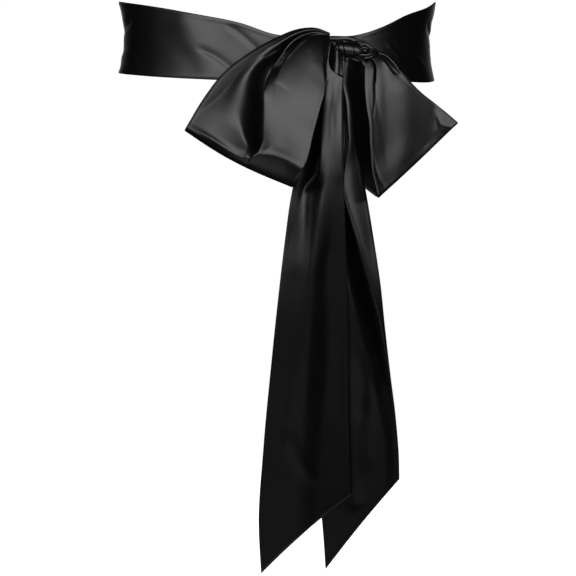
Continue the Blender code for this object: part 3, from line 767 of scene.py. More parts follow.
# %% Make the left loop
LEFT_LOOP = Loop(
    rows=table(
        LoopRow,
        (0, 41.2, -102, 5.4, 41, -106, -3.8, 40.5, -103, -4, 3),
        (0.1, 30.4, -103, 9.2, 37.3, -114, -10.8, 36.5, -106.5, -10.5, 5),
        (0.22, 16.5, -104, 8.4, 36.2, -118, -20, 34, -109.5, -19.5, 6.8),
        (0.36, 0.3, -105, 2.2, 37.2, -120, -36.9, 33.5, -111.5, -35.5, 9),
        (0.52, -20.5, -106, -9.3, 33.4, -121, -52.2, 30, -112.5, -51, 11),
        (0.68, -40.5, -107, -24.7, 28, -122, -72.1, 25, -113, -70.5, 12),
        (0.84, -56.7, -108, -45.5, 23, -121, -92.1, 20.5, -114, -91, 12),
        (1, -71, -108, -69.3, 12.3, -119, -112.9, 12, -117.5, -112.7, 10.5),
    ),
    stations=(0, 0.1, 0.2, 0.26, 0.32, 0.4, 0.44, 0.48, 0.52, 0.57, 0.62, 0.7, 0.8, 0.88, 0.92, 0.96, 1),
    folds=table(
        Fold,
        ("upper_edge", 0, (0, 0.8, 1.8, 2.2, 2.5, 2.8, 3, 3, 3, 3, 2.8, 2.4, 1.6, 1, 0.8, 0.6, 0.4)),
        ("flap", (6, 6, 7, 8, 8, 8, 8, 9, 9, 10, 11, 12, 14, 17, 19, 20, 20),
         (0, 1, 1.9, 2.1, 2.3, 2.4, 2.4, 2.4, 2.4, 2.4, 2.5, 2.9, 3.6, 4, 4, 3.9, 3.7)),
        ("slope", (9, 9, 10, 10.5, 11, 12, 12.5, 13, 13.5, 14, 15, 19, 27.5, 40, 48, 52, 53),
         (0, 0.6, 0.8, 0.7, 0.6, 0.6, 0.7, 1, 1.5, 2.1, 2.7, 3.9, 5.9, 7, 7, 6.6, 6.2)),
        ("valley_side", (10.5, 10.5, 11.5, 13, 15, 21, 23.5, 25, 26, 28, 32.5, 42, 50.5, 56, 57.5, 56, 55),
         (-0.1, -0.8, -1.6, -3, -5, -8, -9, -10, -11, -11.5, -12, -12.5, -11, -7, -1, 4.6, 6.1)),
        ("valley", (12, 12, 13, 14.5, 17, 24.5, 27, 29.5, 32, 34.5, 39, 48, 55.5, 60.5, 60.5, 58, 57),
         (-0.3, -1.5, -3, -5, -8, -11, -12, -13, -13.5, -14.5, -15, -16, -14, -10, -4, 4, 6)),
        ("crest", (15, 15, 17, 18, 20.5, 28, 31.5, 34.2, 37, 40, 44.2, 52.7, 60.2, 64.3, 62.8, 60, 59),
         (0.2, 1, 1.5, 1, 0.5, -0.5, -0.5, 0, 1.5, 4, 6.2, 6.8, 7.6, 8, 7.8, 7, 6.2),
         (0, 0, 0, 0.5, 1.5, 3, 3.6, 4, 4, 4, 4, 4, 4, 3.2, 1.6, 0.4, 0)),
        ("slit", (26, 26, 25.5, 25, 25.5, 27.5, 30, 33, 36, 41, 47, 55, 63, 67.2, 66, 64, 63),
         (0, -1, -3.5, -5, -6.5, -7, -6.5, -4, 2, 5.2, 6.4, 7, 8, 8.6, 8.4, 7.6, 6.6)),
        ("bulge_edge", (30, 30, 29, 29.5, 30, 31.5, 33.5, 36.5, 40, 45, 51, 60, 68, 72, 73, 74, 74),
         (1, 2.2, 2.9, 3.2, 3.5, 4, 4.2, 4.3, 4.5, 4.9, 5.7, 7, 8.8, 10, 9.8, 9, 7.6)),
        ("bulge", (50, 50, 50, 50, 50, 55, 58, 60, 63, 66, 72, 78, 82, 85, 86, 87, 88),
         (1.5, 2.6, 3.4, 3.9, 4.4, 5.2, 5.6, 6, 6.5, 7, 8, 10, 12, 13.2, 12.8, 11.6, 9.6)),
        ("lower_edge", 100,
         (1.5, 2.8, 4, 5, 6, 7.6, 8.3, 9, 9.7, 10.6, 11.8, 14.2, 17, 19, 18.6, 17.2, 14.5)),
    ),
    back_stations=(0, 0.3, 0.6, 1),
    back_folds=table(
        Fold,
        ("upper_edge", 0, 0),
        ("ridge", 30, (0, 1, 2, 1)),
        ("trough", 60, (0, -2, -3, -1)),
        ("lower_edge", 100, 0),
    ),
    turn=((0, 0.02), (0.25, 0.026), (0.5, 0.03), (0.58, 0.045), (0.68, 0.095), (0.8, 0.115), (1, 0.12)),
    bow=0.022,
    rim=(0.6, 0.9, 0.018),
    mouths=(0.35, 0.1),
    creases=table(
        Crease,
        ("long line of the flap", ((20.3, 4.1), (11.9, 1.5), (5, -3.1), (-1.2, -7.7), (-14.2, -15.4)), -0.9,
         1.2, 0.8),
        ("lip above the line", ((27, 5.8), (14, 3.6), (5, -1.4), (-6, -8.6)), 0.5, 1.6, 1.6),
        ("streak on the bulge", ((33, 1.5), (32.4, -7.7), (29.5, -18.5)), -0.2, 2.2, 2.6),
        ("gather by the knot", ((38.4, 2), (36.2, -7.7), (35.6, -17.4)), 0.35, 1.2, 1.6),
        ("gather beside the slit", ((25.5, 3), (19, -1.8), (12.4, -8.2), (6.4, -16.5)), 0.7, 1.1, 1.5),
        ("short gather", ((30, 5), (27, -2), (24.5, -10)), 0.2, 1.8, 1.8),
        ("faint line near the tip", ((-62, -57), (-48.8, -47.6), (-39.6, -38.4), (-32, -29)), 0.12, 2.2,
         0.7),
        ("curl of the far fold round the valley",
         ((-9.6, -72), (-12.3, -82.5), (-17.3, -88.5), (-24.2, -90.8), (-31.9, -87.9), (-43.4, -80.2),
          (-55, -72.9), (-66, -67)), 0.8, 1, 1.8),
    ),
    back_creases=table(
        Crease,
        ("back gather", ((32, -4), (18, -12), (2, -24)), -1.2, 2.5, 2.5),
        ("back gather low", ((34, -12), (24, -26), (14, -44)), 1, 2.5, 3.5),
        ("back soft line", ((-20, -20), (-32, -40), (-42, -62)), -1, 4, 6),
    ),
    width=100,
    length=135,
    seed=1.3,
)
loop_left = make_loop("bow_left", LEFT_LOOP, (128, 230, 26, 90), 2.0, "loop_left")

# %% [markdown]
# ### The right loop
# It is shorter and hangs lower at its outer end. A strip of light runs down its left side beside a dark
# slit, a small lens of shadow lies under its upper rim, and near its tip the upper edge twists so far that
# it catches the light once more.

# %% Make the right loop
RIGHT_LOOP = Loop(
    rows=table(
        LoopRow,
        (0, 79.6, -102, -8.8, 67.9, -110, -17.8, 53.5, -99, -12.5, 2),
        (0.09, 86.1, -103, -12, 67.9, -110.9, -24, 53, -101, -19.5, 2.6),
        (0.18, 91.6, -103.8, -17, 67.8, -111.5, -30.8, 52.8, -101.6, -28.5, 3),
        (0.29, 97.1, -103.8, -24, 68, -112.2, -39.5, 52.9, -101.8, -40.5, 3.2),
        (0.4, 103.4, -102.2, -32, 69, -112.6, -50.5, 54.6, -101.8, -52.5, 3.2),
        (0.53, 111.3, -98.6, -40, 71.2, -113, -64.5, 57.5, -101.8, -67.5, 3.2),
        (0.68, 120.9, -93.5, -47.6, 72, -114, -82.5, 61.2, -101.8, -87.5, 3),
        (0.84, 131.2, -87.5, -55.8, 73.8, -115, -101.5, 64.5, -103, -109.5, 2.6),
        (1, 140.8, -81.5, -64, 78.1, -115.5, -121.3, 77.5, -108, -121.7, 2),
    ),
    stations=(0, 0.08, 0.14, 0.2, 0.26, 0.32, 0.4, 0.5, 0.62, 0.74, 0.84, 0.92, 1),
    folds=table(
        Fold,
        ("upper_edge", 0, (0, 0, 0, 0, 0, 0, 0, 0, 0, 1.2, 3.8, 6, 8)),
        ("rim", (5, 5, 5, 5, 5, 5, 5, 5, 5, 5, 10, 12, 7),
         (0.5, 1.2, 1.4, 1.3, 0.9, 0.4, 0.1, 0, 0, 0.6, 2.8, 4.9, 7.2)),
        ("lens", (16, 16, 17, 18, 17, 14, 12, 12, 12, 10, 15, 18, 13),
         (-0.6, -1.8, -2.6, -2.2, -0.9, 0.2, 0.3, 0.3, 0.1, 0.1, 0.3, 1.2, 2.6)),
        ("lens_low", (26, 26, 27, 27, 26, 23, 20, 22, 24, 26, 30, 32, 30),
         (0.3, 0.9, 1.2, 1.1, 0.9, 0.7, 0.5, 0.5, 0.4, 0.3, 0.1, 0, 0.2)),
        ("dome", (36, 38, 40, 42, 44, 46, 48, 50, 50, 50, 50, 50, 50),
         (0.5, 1, 1.3, 1.4, 1.4, 1.4, 1.4, 1.2, 1, 0.8, 0.8, 0.8, 0.6)),
        ("slit_side", (50, 53, 57, 63, 66, 68, 73, 77, 79, 80, 81, 82, 83),
         (0.5, 0.9, 1.4, 1.8, 2.2, 2.4, 2.8, 3, 3.3, 3.5, 3.8, 4, 4)),
        ("slit", (58, 58, 62, 68.5, 71, 73, 77, 81, 83, 84, 85, 86, 87),
         (-0.5, -3.5, -4.8, -2, 1.2, 2.2, 2.9, 3.4, 3.8, 4, 4.3, 4.5, 4.5)),
        ("left_ridge", (66, 66, 69, 74.5, 78, 81, 85, 89, 91, 92, 93, 93, 93),
         (2.6, 3, 3.3, 3.6, 3.9, 4.1, 4.4, 4.7, 5, 5.2, 5.4, 5.6, 5.6)),
        ("left_edge", 100, (4, 4.4, 4.8, 5.2, 5.6, 5.9, 6.2, 6.5, 6.6, 6.8, 7, 7.2, 7.2)),
    ),
    back_stations=(0, 0.1, 0.2, 0.6, 0.85, 1),
    back_folds=table(
        Fold,
        ("upper_edge", 0, 0),
        ("trough", 35, (0, -1, -1, -2, -2, -1)),
        ("hollow", (60, 60, 62, 72, 75, 75), (0, 5, 7.5, 6.5, 4, 0)),
        ("left_edge", 100, 0),
    ),
    turn=((0, 0.012), (0.3, 0.012), (0.7, 0.014), (1, 0.018)),
    bow=0.006,
    rim=(0.2, 0.8, 0.03),
    mouths=(0.35, 0.1),
    creases=table(
        Crease,
        ("line beside the strip", ((73.6, -30), (75.2, -40), (74.8, -50.8), (73.6, -62)), -0.3, 0.9, 0.7),
        ("upper side of the lens", ((79.7, -8.5), (84.4, -11.6), (89, -16.2), (92.9, -21.6), (95.2, -28.6)),
         0.6, 0.8, 0.6),
        ("lower side of the lens",
         ((79.8, -13.2), (83.6, -17.8), (87.5, -22.4), (91.3, -25.9), (95.2, -28.6)), 0.5, 0.6, 1.4),
        ("shade at the lower corner", ((71.5, -80), (75.5, -97), (79.8, -107.5), (86, -115.5)), -0.5, 1.2,
         2.4),
        ("soft swell", ((94, -24), (99, -50), (99, -76), (93, -110)), 0.5, 7.5, 7.5),
        ("shade beside the strip", ((81, -14), (84.5, -40), (85.5, -68), (84.5, -104)), -0.9, 9, 6),
        ("small dent by the fold", ((112.5, -83), (117.5, -79)), -0.12, 1.2, 1.2),
        ("dent by the lower corner", ((93, -105), (97, -101)), -0.12, 1.2, 1.2),
    ),
    back_creases=table(
        Crease,
        ("back gather", ((76, -14), (90, -30), (104, -42)), -1.2, 2.5, 3),
        ("back gather low", ((68, -24), (72, -48), (78, -74)), 1, 3, 3.5),
    ),
    width=94,
    length=100,
    seed=2.9,
)
loop_right = make_loop("bow_right", RIGHT_LOOP, (120, 210, 22, 84), 3.0, "loop_right")

# %% [markdown]
# ## The tails
# The two ends fall straight down under their own weight. Each is a strip between two selvedge curves, with
# long folds that fan out from the knot and fade towards the slanting hem. The front one comes out of the
# knot as a cowl: its edge swings round below the knot and leaves a small dark pocket, which a step in the
# height makes, with its own edge curve.

# %% The tails' shared function
TailRow = namedtuple("TailRow", "along left_x left_z right_x right_z y")
Tail = namedtuple("Tail", "rows stations folds hem_bow creases width length seed")
DENSER_BY = 0.45  # how much closer together the rows start than they would evenly
TAIL_SLACK_RISE = 6  # the slack grows over one part in so many of the tail's length
TAIL_STRETCH = 4  # and its waves are so many times longer along a tail than across it


def tail_points(tail, across, along, pocket=None):
    """A hanging strip between two selvedge curves, with its folds standing out towards the front."""
    left, right = (edge_line(tail.rows, edge, "xz", along) for edge in ("left", "right"))
    x, z = (between(*ends, across) for ends in zip(left, right))
    near_hem = ease(along * 4 - 3)  # 0 up to three quarters of the way, 1 at the hem
    z = z + tail.hem_bow * np.sin(math.pi * across) * near_hem
    out = relief(tail.folds, tail.stations, across, along) + crease_height(tail.creases, x, z)
    if pocket:
        out = out + pocket(across, along)
    waves = slack(across * tail.width, along * tail.length / TAIL_STRETCH, CLOTH_SLACK, tail.seed)
    out = out + waves * ease(along * TAIL_SLACK_RISE)
    x = x - relief(tail.folds, tail.stations, across, along, "lean")
    return np.stack([x, column(tail.rows, "y", along) - out, z], -1)


def make_tail(name, tail, counts, shift, node, pocket=None):
    """A grid of counts = (across, along) steps, denser towards the knot, turned into cloth."""
    even = np.linspace(0, 1, counts[1])
    along = even + DENSER_BY * (even**2 - even)
    across, along = np.meshgrid(edge_dense(counts[0]), along)
    points = tail_points(tail, across, along, pocket)
    piece = cloth_piece(name, points, flat_map(across, along, tail.width, tail.length))
    dress(piece, shift, node)
    report(piece, points)
    return piece


# %% Make the front tail
# The pocket: its rim runs from the knot down beside the left edge and swings across to the right one.
POCKET_RIM = ((0.0, 0.035), (0.1, 0.06), (0.25, 0.078), (0.45, 0.085), (0.66, 0.089), (1.0, 0.089))
POCKET_DEPTH = 2.6
POCKET_STEP = 0.004  # how far along the cloth the drop at the rim reaches
POCKET_SIDE = (0.04, 0.07)  # where the drop starts across the cloth, and how far it reaches
POCKET_SLOT, POCKET_STRAND = (0.21, 0.11, 4.4), (0.6, 0.2, -2.4)  # place and width across, extra depth


def cowl_pocket(across, along):
    """Drops inside its rim, deepest in a narrow slot at the left, beside a strand that comes forward."""
    rim = smooth_curve(*zip(*POCKET_RIM), across)
    start, reach = POCKET_SIDE
    inside = ease((rim - along) / POCKET_STEP) * ease((across - start) / reach)
    depth = POCKET_DEPTH
    for place, width, extra in (POCKET_SLOT, POCKET_STRAND):
        depth = depth + extra * bell(across - place, width)
    return -inside * depth


FRONT_TAIL = Tail(
    rows=table(
        TailRow,
        (0, 40.9, -0.8, 50.7, -11.6, -109.4),
        (0.04, 39.8, -9.3, 51.3, -17.7, -111),
        (0.08, 37.6, -20, 51.5, -26.9, -112.2),
        (0.13, 36.3, -35.4, 51.5, -40, -113.6),
        (0.19, 29.8, -56.9, 51.6, -59.2, -115.3),
        (0.25, 22.3, -78.5, 51.6, -79.2, -116.6),
        (0.31, 15.4, -100.1, 51.7, -99.2, -117.4),
        (0.37, 10.9, -121.6, 52, -118.4, -117.8),
        (0.46, 6.4, -154.1, 53.3, -148.5, -117.4),
        (0.57, 1.4, -196.6, 54.8, -187.1, -115.2),
        (0.7, -4.3, -250.8, 56.2, -235.8, -111.6),
        (0.84, -10.4, -316.8, 56.8, -292.4, -109),
        (0.94, -14, -375.1, 57.8, -332, -109),
        (1, -12.1, -413.3, 58.1, -352.2, -109.6),
    ),
    stations=(0, 0.04, 0.08, 0.12, 0.18, 0.24, 0.29, 0.32, 0.35, 0.4, 0.46, 0.54, 0.62, 0.72, 0.84, 1),
    folds=table(
        Fold,
        ("left_edge", 0, (0, 0.4, 0.5, 0, -2, -4, -5, -5.6, -6.2, -6.8, -7.2, -4.8, -2.2, -0.4, 0.4, 0.3)),
        ("left_ridge", (6, 6, 8, 7, 5, 5, 6, 7, 10, 12, 14, 16, 17, 20, 22, 24),
         (0.6, 0.8, 0.8, 0.6, -1.6, -3.5, -4, -4.8, -5.6, -5.8, -5.7, -3, -0.8, 0.8, 1.2, 0.6)),
        ("valley", (28, 30, 34, 15, 25, 40, 47, 45, 26, 25.5, 27, 28, 28, 28, 27, 27),
         (0.4, 0.6, 0.8, 0.4, -9, -13, -14, -13, -9.8, -7, -4.6, -1.8, 0, 1.4, 1.6, 0.8)),
        ("crest", (50, 60, 70, 19, 30, 46, 54, 51, 42, 40, 40, 40, 40, 38, 35, 31),
         (0.4, 0.8, 1, 1.2, 1.2, 2.4, 3.5, 1.8, -3.6, -2.8, -1.4, 0.2, 1.4, 2.1, 1.8, 0.9),
         (0, 0, 0, 0.3, 1.8, 2.4, 2.6, 1.8, 0.5, 0, 0, 0, 0, 0, 0, 0)),
        ("brow", (70, 74, 80, 50, 50, 60, 66, 66, 65, 61, 56, 49, 48, 46, 44, 40),
         (0, 0.6, 1, 1.6, 2.9, 3.8, 4.4, 4.6, 4.4, 4, 3.2, 2.6, 2.8, 2.7, 2, 1)),
        ("streak", (75, 80, 87, 66, 66, 72, 77, 78, 79, 78, 76, 71, 74, 74, 70, 64),
         (-0.4, 0.4, 1, 1.6, 3.8, 4.6, 4.6, 4.3, 3.6, 2.4, 0.2, -2.8, -3.4, -3.2, -2, -1)),
        ("panel", (90, 92, 94, 86, 86, 88, 88, 87, 87, 88, 89, 90, 90, 89, 88, 86),
         (-1, 0.2, 1, 2, 4.8, 5.6, 5.2, 4.5, 3.2, 1.6, -0.6, -3.2, -4.2, -4, -2.8, -1.4)),
        ("right_edge", 100,
         (-1.6, -0.2, 0.6, 1, 3.2, 4, 3.6, 2.9, 1.8, 0.6, -1.2, -3.4, -4.4, -4.2, -3, -1.4)),
    ),
    hem_bow=2.8,
    creases=table(
        Crease,
        ("line down the left margin", ((13.6, -112), (12.3, -134.6), (10, -166)), -0.25, 1.4, 1.4),
        ("seam line near the right edge", ((54.6, -258), (55.6, -300), (56.4, -346)), 0.15, 0.7, 0.7),
        ("gather under the cowl", ((41, -26), (42.6, -48), (43.4, -74)), -0.25, 2.4, 2.8),
        ("gather at the left", ((39.6, -22), (39.2, -36), (37.4, -52)), 0.2, 1.8, 2),
        ("soft dent in the left panel", ((16, -170), (11, -215), (6, -262)), -0.8, 6, 7),
        ("soft swell in the left panel", ((24, -150), (22, -200), (16, -262), (8, -330)), 0.7, 7, 6),
        ("soft swell in the right panel", ((46, -190), (48, -240), (46, -300)), 0.5, 6, 6),
        ("low pull", ((6, -300), (18, -326), (34, -346)), 0.5, 5, 6),
    ),
    width=74,
    length=379,
    seed=4.1,
)
tail_front = make_tail("tail_in_front", FRONT_TAIL, (72, 440), 4.0, "tail_front", cowl_pocket)

# %% Make the tail behind
BACK_TAIL = Tail(
    rows=table(
        TailRow,
        (0, 46, -11.5, 52.6, -12.7, -101),
        (0.05, 43.5, -32.4, 53.2, -30.8, -103),
        (0.1, 42.4, -49.4, 57.4, -46.3, -103.6),
        (0.16, 40.8, -69.4, 59.8, -64.8, -104.4),
        (0.22, 39.3, -89.5, 62.4, -83.3, -105.1),
        (0.29, 37.8, -112.7, 66.6, -103.3, -105.6),
        (0.37, 36.2, -140.5, 71, -128.1, -105.9),
        (0.46, 34.7, -173, 75.5, -155.9, -105.6),
        (0.56, 33.6, -212.6, 80.4, -188.4, -104.4),
        (0.66, 32.8, -255.3, 84, -222.5, -102.3),
        (0.76, 32.5, -300.4, 88.1, -257.5, -100),
        (0.86, 33.3, -348.8, 92.5, -292.5, -98.9),
        (0.94, 36.4, -387.8, 94.9, -321.3, -99),
        (1, 38, -411.2, 95.5, -340.7, -99.3),
    ),
    stations=(0, 0.08, 0.14, 0.2, 0.26, 0.32, 0.38, 0.44, 0.5, 0.56, 0.62, 0.68, 0.74, 0.82, 1),
    folds=table(
        Fold,
        ("left_edge", 0, (0, -1, -2, -2, -1, 0, 0, 0.5, 0.8, 1, 1, 1, 1, 1, 1)),
        ("left_panel", (20, 20, 20, 20, 20, 20, 27, 35, 42, 49, 56, 64, 74, 80, 82),
         (0, -1, -2, -2, -0.5, 0.5, 1, 1.2, 1.6, 2, 2.4, 2.6, 2.4, 1.6, 0.6)),
        ("valley", (45, 56, 62, 60, 46, 47, 57.5, 67.5, 75.5, 82.5, 89.5, 93.5, 95.5, 95.5, 95.5),
         (-0.3, -3, -6, -6, -4, -8, -12, -14, -15, -15, -13, -9.5, -5.5, -2, 0)),
        ("fold_line", (70, 75, 76, 74, 56, 51, 61, 71, 79, 86, 92.5, 96, 97.5, 97.5, 97.5),
         (0.3, 1.5, 3, 3, 2, 3.4, 4.4, 5, 5, 5, 4.4, 3.4, 2, 0.8, 0.3),
         (0, 0, 0, 0, 0.5, 1.5, 1.5, 1.5, 1.5, 1.5, 1.2, 0.8, 0.3, 0, 0)),
        ("right_edge", 100, (0, 0.4, 0.6, -0.6, -2.2, -3.2, -3.4, -2.2, 0.4, 2.4, 3, 2.8, 2, 1, 0.5)),
    ),
    hem_bow=1.5,
    creases=table(
        Crease,
        ("line inside the fold",
         ((53, -112), (55.4, -124), (59.4, -137), (63.8, -150), (68, -165), (72.4, -181), (76.5, -193)),
         -0.6, 0.6, 0.6),
        ("soft streak", ((73, -262), (72, -300), (70, -338)), -0.7, 5, 6),
        ("light panel", ((84, -262), (87, -292), (88, -322)), 0.5, 5, 5),
        ("pull from the edge", ((60, -232), (66, -262), (66, -300)), 0.7, 5, 7),
        ("dent near the hem", ((50, -330), (58, -352), (64, -366)), -0.6, 6, 6),
    ),
    width=74,
    length=366,
    seed=5.7,
)
tail_back = make_tail("tail_behind", BACK_TAIL, (72, 400), 5.0, "tail_back")

# %% [markdown]
# ## The knot
# A short turn of the cloth wraps the knot. It is a tube with its axis along the knot, and its pleats, of
# different widths, run round it. Where the crossed layers leave it on the right they bunch into a lump of
# small folds. That lump and the layers inside the wrap are one closed oval body whose rings come from a
# table, as in the solid, with the small folds drawn on its front.

# %% Make the wrap
KNOT_CENTRE = (55.6, -98.3, -7.2)
KNOT_TILT = -8.0  # degrees
WRAP_HALF_WIDTH = 10.3
WRAP_RADII = (8.0, 4.5)
WRAP_MOUTH = 0.8  # how far it draws in at its two mouths
WRAP_GRID = (96, 140)  # points between its mouths and round it
WRAP_FLAT = (21.0, 40.0)  # its cloth map, in the same order
# Pleats of the wrap: where each crease lies from -1, the left mouth, to 1, its depth and its width.
Pleat = namedtuple("Pleat", "across depth width")
WRAP_PLEATS = table(
    Pleat,
    (-0.9, 0.5, 0.04),
    (-0.72, 1.3, 0.06),
    (-0.33, 0.7, 0.05),
    (0.42, 0.5, 0.05),
    (0.86, 0.5, 0.06),
)
FLATTENED = 0.62  # the power that flattens the front of the wrap and of the strands
WRAP_SLANT, WRAP_WAVER = 0.1, 0.04  # how far the pleats lean over and waver as they go round
WRAP_FULLNESS = 0.55  # how far the cloth stands out between its pleats


def tilted(points):
    """Points turned about the Y axis by the knot's tilt, and moved to the knot's centre."""
    angle = math.radians(KNOT_TILT)
    x, y, z = points[..., 0], points[..., 1], points[..., 2]
    turned = [x * math.cos(angle) - z * math.sin(angle), y, x * math.sin(angle) + z * math.cos(angle)]
    return np.stack(turned, -1) + np.array(KNOT_CENTRE)


def flat_cosine(around):
    """Like a cosine, but with flatter top and bottom: its size to a power, with its sign."""
    return np.sign(np.cos(around)) * np.abs(np.cos(around)) ** FLATTENED


def wrap_points(across, around):
    """A short tube round the knot's long axis, flattened in front and pinched by its pleats."""
    place = across + WRAP_SLANT * np.sin(around) + WRAP_WAVER * np.sin(2 * around + 1)
    out = WRAP_FULLNESS - WRAP_MOUTH * across**4
    for pleat in WRAP_PLEATS:
        out = out - pleat.depth * bell(place - pleat.across, pleat.width)
    depth, height = (radius + out for radius in WRAP_RADII)
    rings = [WRAP_HALF_WIDTH * across + 0 * around, -depth * flat_cosine(around), height * np.sin(around)]
    return tilted(np.stack(rings, -1))


across, along = tube_grid(edge_dense(WRAP_GRID[0]), WRAP_GRID[1])
points = wrap_points(2 * across - 1, math.pi - 2 * math.pi * along)
wrap = cloth_piece("knot_turn", points, flat_map(across, along, *WRAP_FLAT), tube=True)
dress(wrap, 6.0, "knot_wrap")
report(wrap, points, tube=True)

# %% Make the crossed layers
CoreRow = namedtuple("CoreRow", "x y z half_depth half_height")
LAYER_PLEAT, LAYER_PLEATS, LAYER_TWIST = 0.25, 9, 5  # height and number of pleats round it, their twist
LEAST_PLEATED = 1.5  # thinner rings take their pleats as if they were this thick
LAYER_STEPS = 160  # points along the lump, and round it
LAYER_FLAT = (30.0, 17.0)  # its cloth map: along it and round it
CORE_ROWS = table(
    CoreRow,
    (40.6, -102.5, -2.6, 0, 0),
    (42.2, -102.3, -3.4, 0.8, 1.2),
    (44.2, -101, -4.9, 1.8, 1.4),
    (46.5, -99.6, -5.7, 3, 1.7),
    (50, -98.5, -6.4, 4.6, 2.4),
    (60, -98.3, -7.8, 4.8, 2.4),
    (65.8, -98.8, -8.5, 3.6, 1.8),
    (68.8, -100.6, -8.2, 4.4, 3.2),
    (72, -101.4, -8.6, 4.4, 3.3),
    (75.2, -101, -8.8, 3.2, 2.2),
    (77.2, -100.4, -8.8, 2, 1.3),
    (78.2, -100, -8.2, 0, 0),
)
BUNCH_FOLDS = table(
    Crease,
    ("outer arc", ((62.6, -1.6), (65.1, -3.4), (68.9, -3.6), (72, -5.5), (76.2, -8.5)), 1.3, 0.8, 0.6),
    ("inner arc", ((63.8, -7.6), (67.2, -5.3), (69.9, -4.9), (72.4, -6.6), (74.2, -9)), 1.2, 0.7, 0.6),
    ("loop's middle", ((66.8, -8.9), (68.2, -7.6), (70, -8), (71, -9.2)), 1.1, 0.8, 0.8),
    ("strand to the loop", ((64, -12.2), (67.1, -10.9), (71, -10.6), (75.6, -9.9)), 1.2, 0.8, 0.7),
    ("lower strand", ((64.6, -13.8), (68.4, -13), (72, -12.8), (75.6, -11.9)), 1, 0.7, 0.7),
)


def bunch_points(along, around):
    """Oval rings from the table, with the small folds pushed out to the front of them. Pleats lie side by
    side round them, and come in where a ring's half depth goes from 1 to 3 mm."""
    x = CORE_ROWS[0].x + (CORE_ROWS[-1].x - CORE_ROWS[0].x) * along
    depth, height = (np.maximum(column(CORE_ROWS, name, x), 0) for name in ("half_depth", "half_height"))
    y, z = column(CORE_ROWS, "y", x), column(CORE_ROWS, "z", x)
    folds = crease_height(BUNCH_FOLDS, x, z + height * np.sin(around)) * np.maximum(np.cos(around), 0) ** 0.5
    pleats = LAYER_PLEAT * np.cos(LAYER_PLEATS * around + LAYER_TWIST * along) * ease((depth - 1) / 2)
    grow = 1 + pleats / np.maximum(depth, LEAST_PLEATED)
    rings = [x + 0 * around, y - depth * grow * np.cos(around) - folds, z + height * grow * np.sin(around)]
    return np.stack(rings, -1)


denser_at_ends = (1 - np.cos(np.linspace(0, math.pi, LAYER_STEPS))) / 2
along, around = tube_grid(denser_at_ends, LAYER_STEPS)
points = bunch_points(along, math.pi * (2 * around - 1))
bunch = closed_body("knot_layers", [(points, flat_map(along, around, *LAYER_FLAT))])
dress(bunch, 7.0, "knot_core")
report(bunch, points, tube=True)

# %% Make the small folds where the knot lets the right loop go
STRAND_DEPTH = 1.2  # half its depth, as a share of half its width
END_POWER = 8  # the higher, the blunter its ends
GIRTH = 7.0  # the way round it, as a share of half its width
STRAND_GRID = (48, 28)  # points along it and round it
# Each is a rolled fold along a path: (x, y, z) of its middle and half its width, all in mm.
STRANDS = (
    ("outer strand",
     ((60.4, -101.5, -0.5, 0.4), (62.7, -104.2, -1.8, 1), (65.8, -105.6, -3, 1.1),
      (69.4, -105.8, -3.8, 1.3), (73.5, -105, -6.8, 1.4), (77.9, -103.2, -9, 0.8))),
    ("small lump",
     ((63, -104.6, -4.6, 0.4), (64.6, -106.4, -3.9, 1.1), (66.4, -106.4, -5, 1),
      (67.2, -105.6, -6.6, 0.4))),
    ("inner fold",
     ((63.9, -104.8, -9.6, 0.4), (65.2, -106.6, -7.4, 0.8), (67.4, -107.2, -5.9, 0.9),
      (70.2, -106.6, -6.9, 0.8), (73, -104.6, -9.6, 0.4))),
    ("lump in the fold",
     ((65, -105.4, -9.4, 0.4), (66.6, -107.4, -8.6, 1.3), (68.6, -107.8, -8.4, 1.6),
      (70.6, -106.8, -9.2, 0.9), (71.8, -105.4, -9.8, 0.4))),
    ("upper strand",
     ((61.4, -104.4, -13.2, 0.6), (65, -107, -11.5, 1.3), (68.9, -107.6, -11.7, 1),
      (72.7, -106.8, -11, 1.2), (78.4, -102.8, -9.6, 0.7))),
    ("lower strand",
     ((64.6, -105.4, -14.8, 0.4), (68, -107.2, -14.1, 1.3), (71.6, -107, -13.4, 1.1),
      (75.2, -105.2, -12, 1.2), (79, -102.6, -10.6, 0.6))),
    ("strand into the strip",
     ((58.6, -103.6, -12.8, 0.5), (62, -106.8, -13.6, 1.2), (65.4, -109.6, -15, 1.9),
      (67.6, -111.6, -17.6, 2), (69, -112.6, -21, 1.6), (70, -112, -26, 0.4))),
    ("curl below the turn",
     ((50.8, -99.5, -12.6, 0.4), (52, -101.8, -14.4, 0.7), (53.9, -102.6, -15.6, 0.8),
      (56.2, -102, -14.6, 0.5))),
    ("second curl",
     ((56.4, -102.4, -13.4, 0.4), (58.4, -104.6, -14.2, 0.8), (60.8, -105.8, -15.4, 0.9),
      (64, -107.4, -16.6, 0.5))),
)


def strand_points(rows, along, around):
    """Flattened oval rings along a smooth path, square to it in the plane of the front view."""
    knots = np.arange(len(rows))
    x, y, z, half = (smooth_curve(knots, [row[k] for row in rows], along * knots[-1]) for k in range(4))
    half = half * np.sqrt(np.clip(1 - (2 * along - 1) ** END_POWER, 0, 1))
    forward_x, forward_z = np.gradient(x, axis=1), np.gradient(z, axis=1)
    length = np.hypot(forward_x, forward_z)
    side = half * np.sin(around)
    y = y - STRAND_DEPTH * half * flat_cosine(around)
    return np.stack([x - side * forward_z / length, y, z + side * forward_x / length], -1)


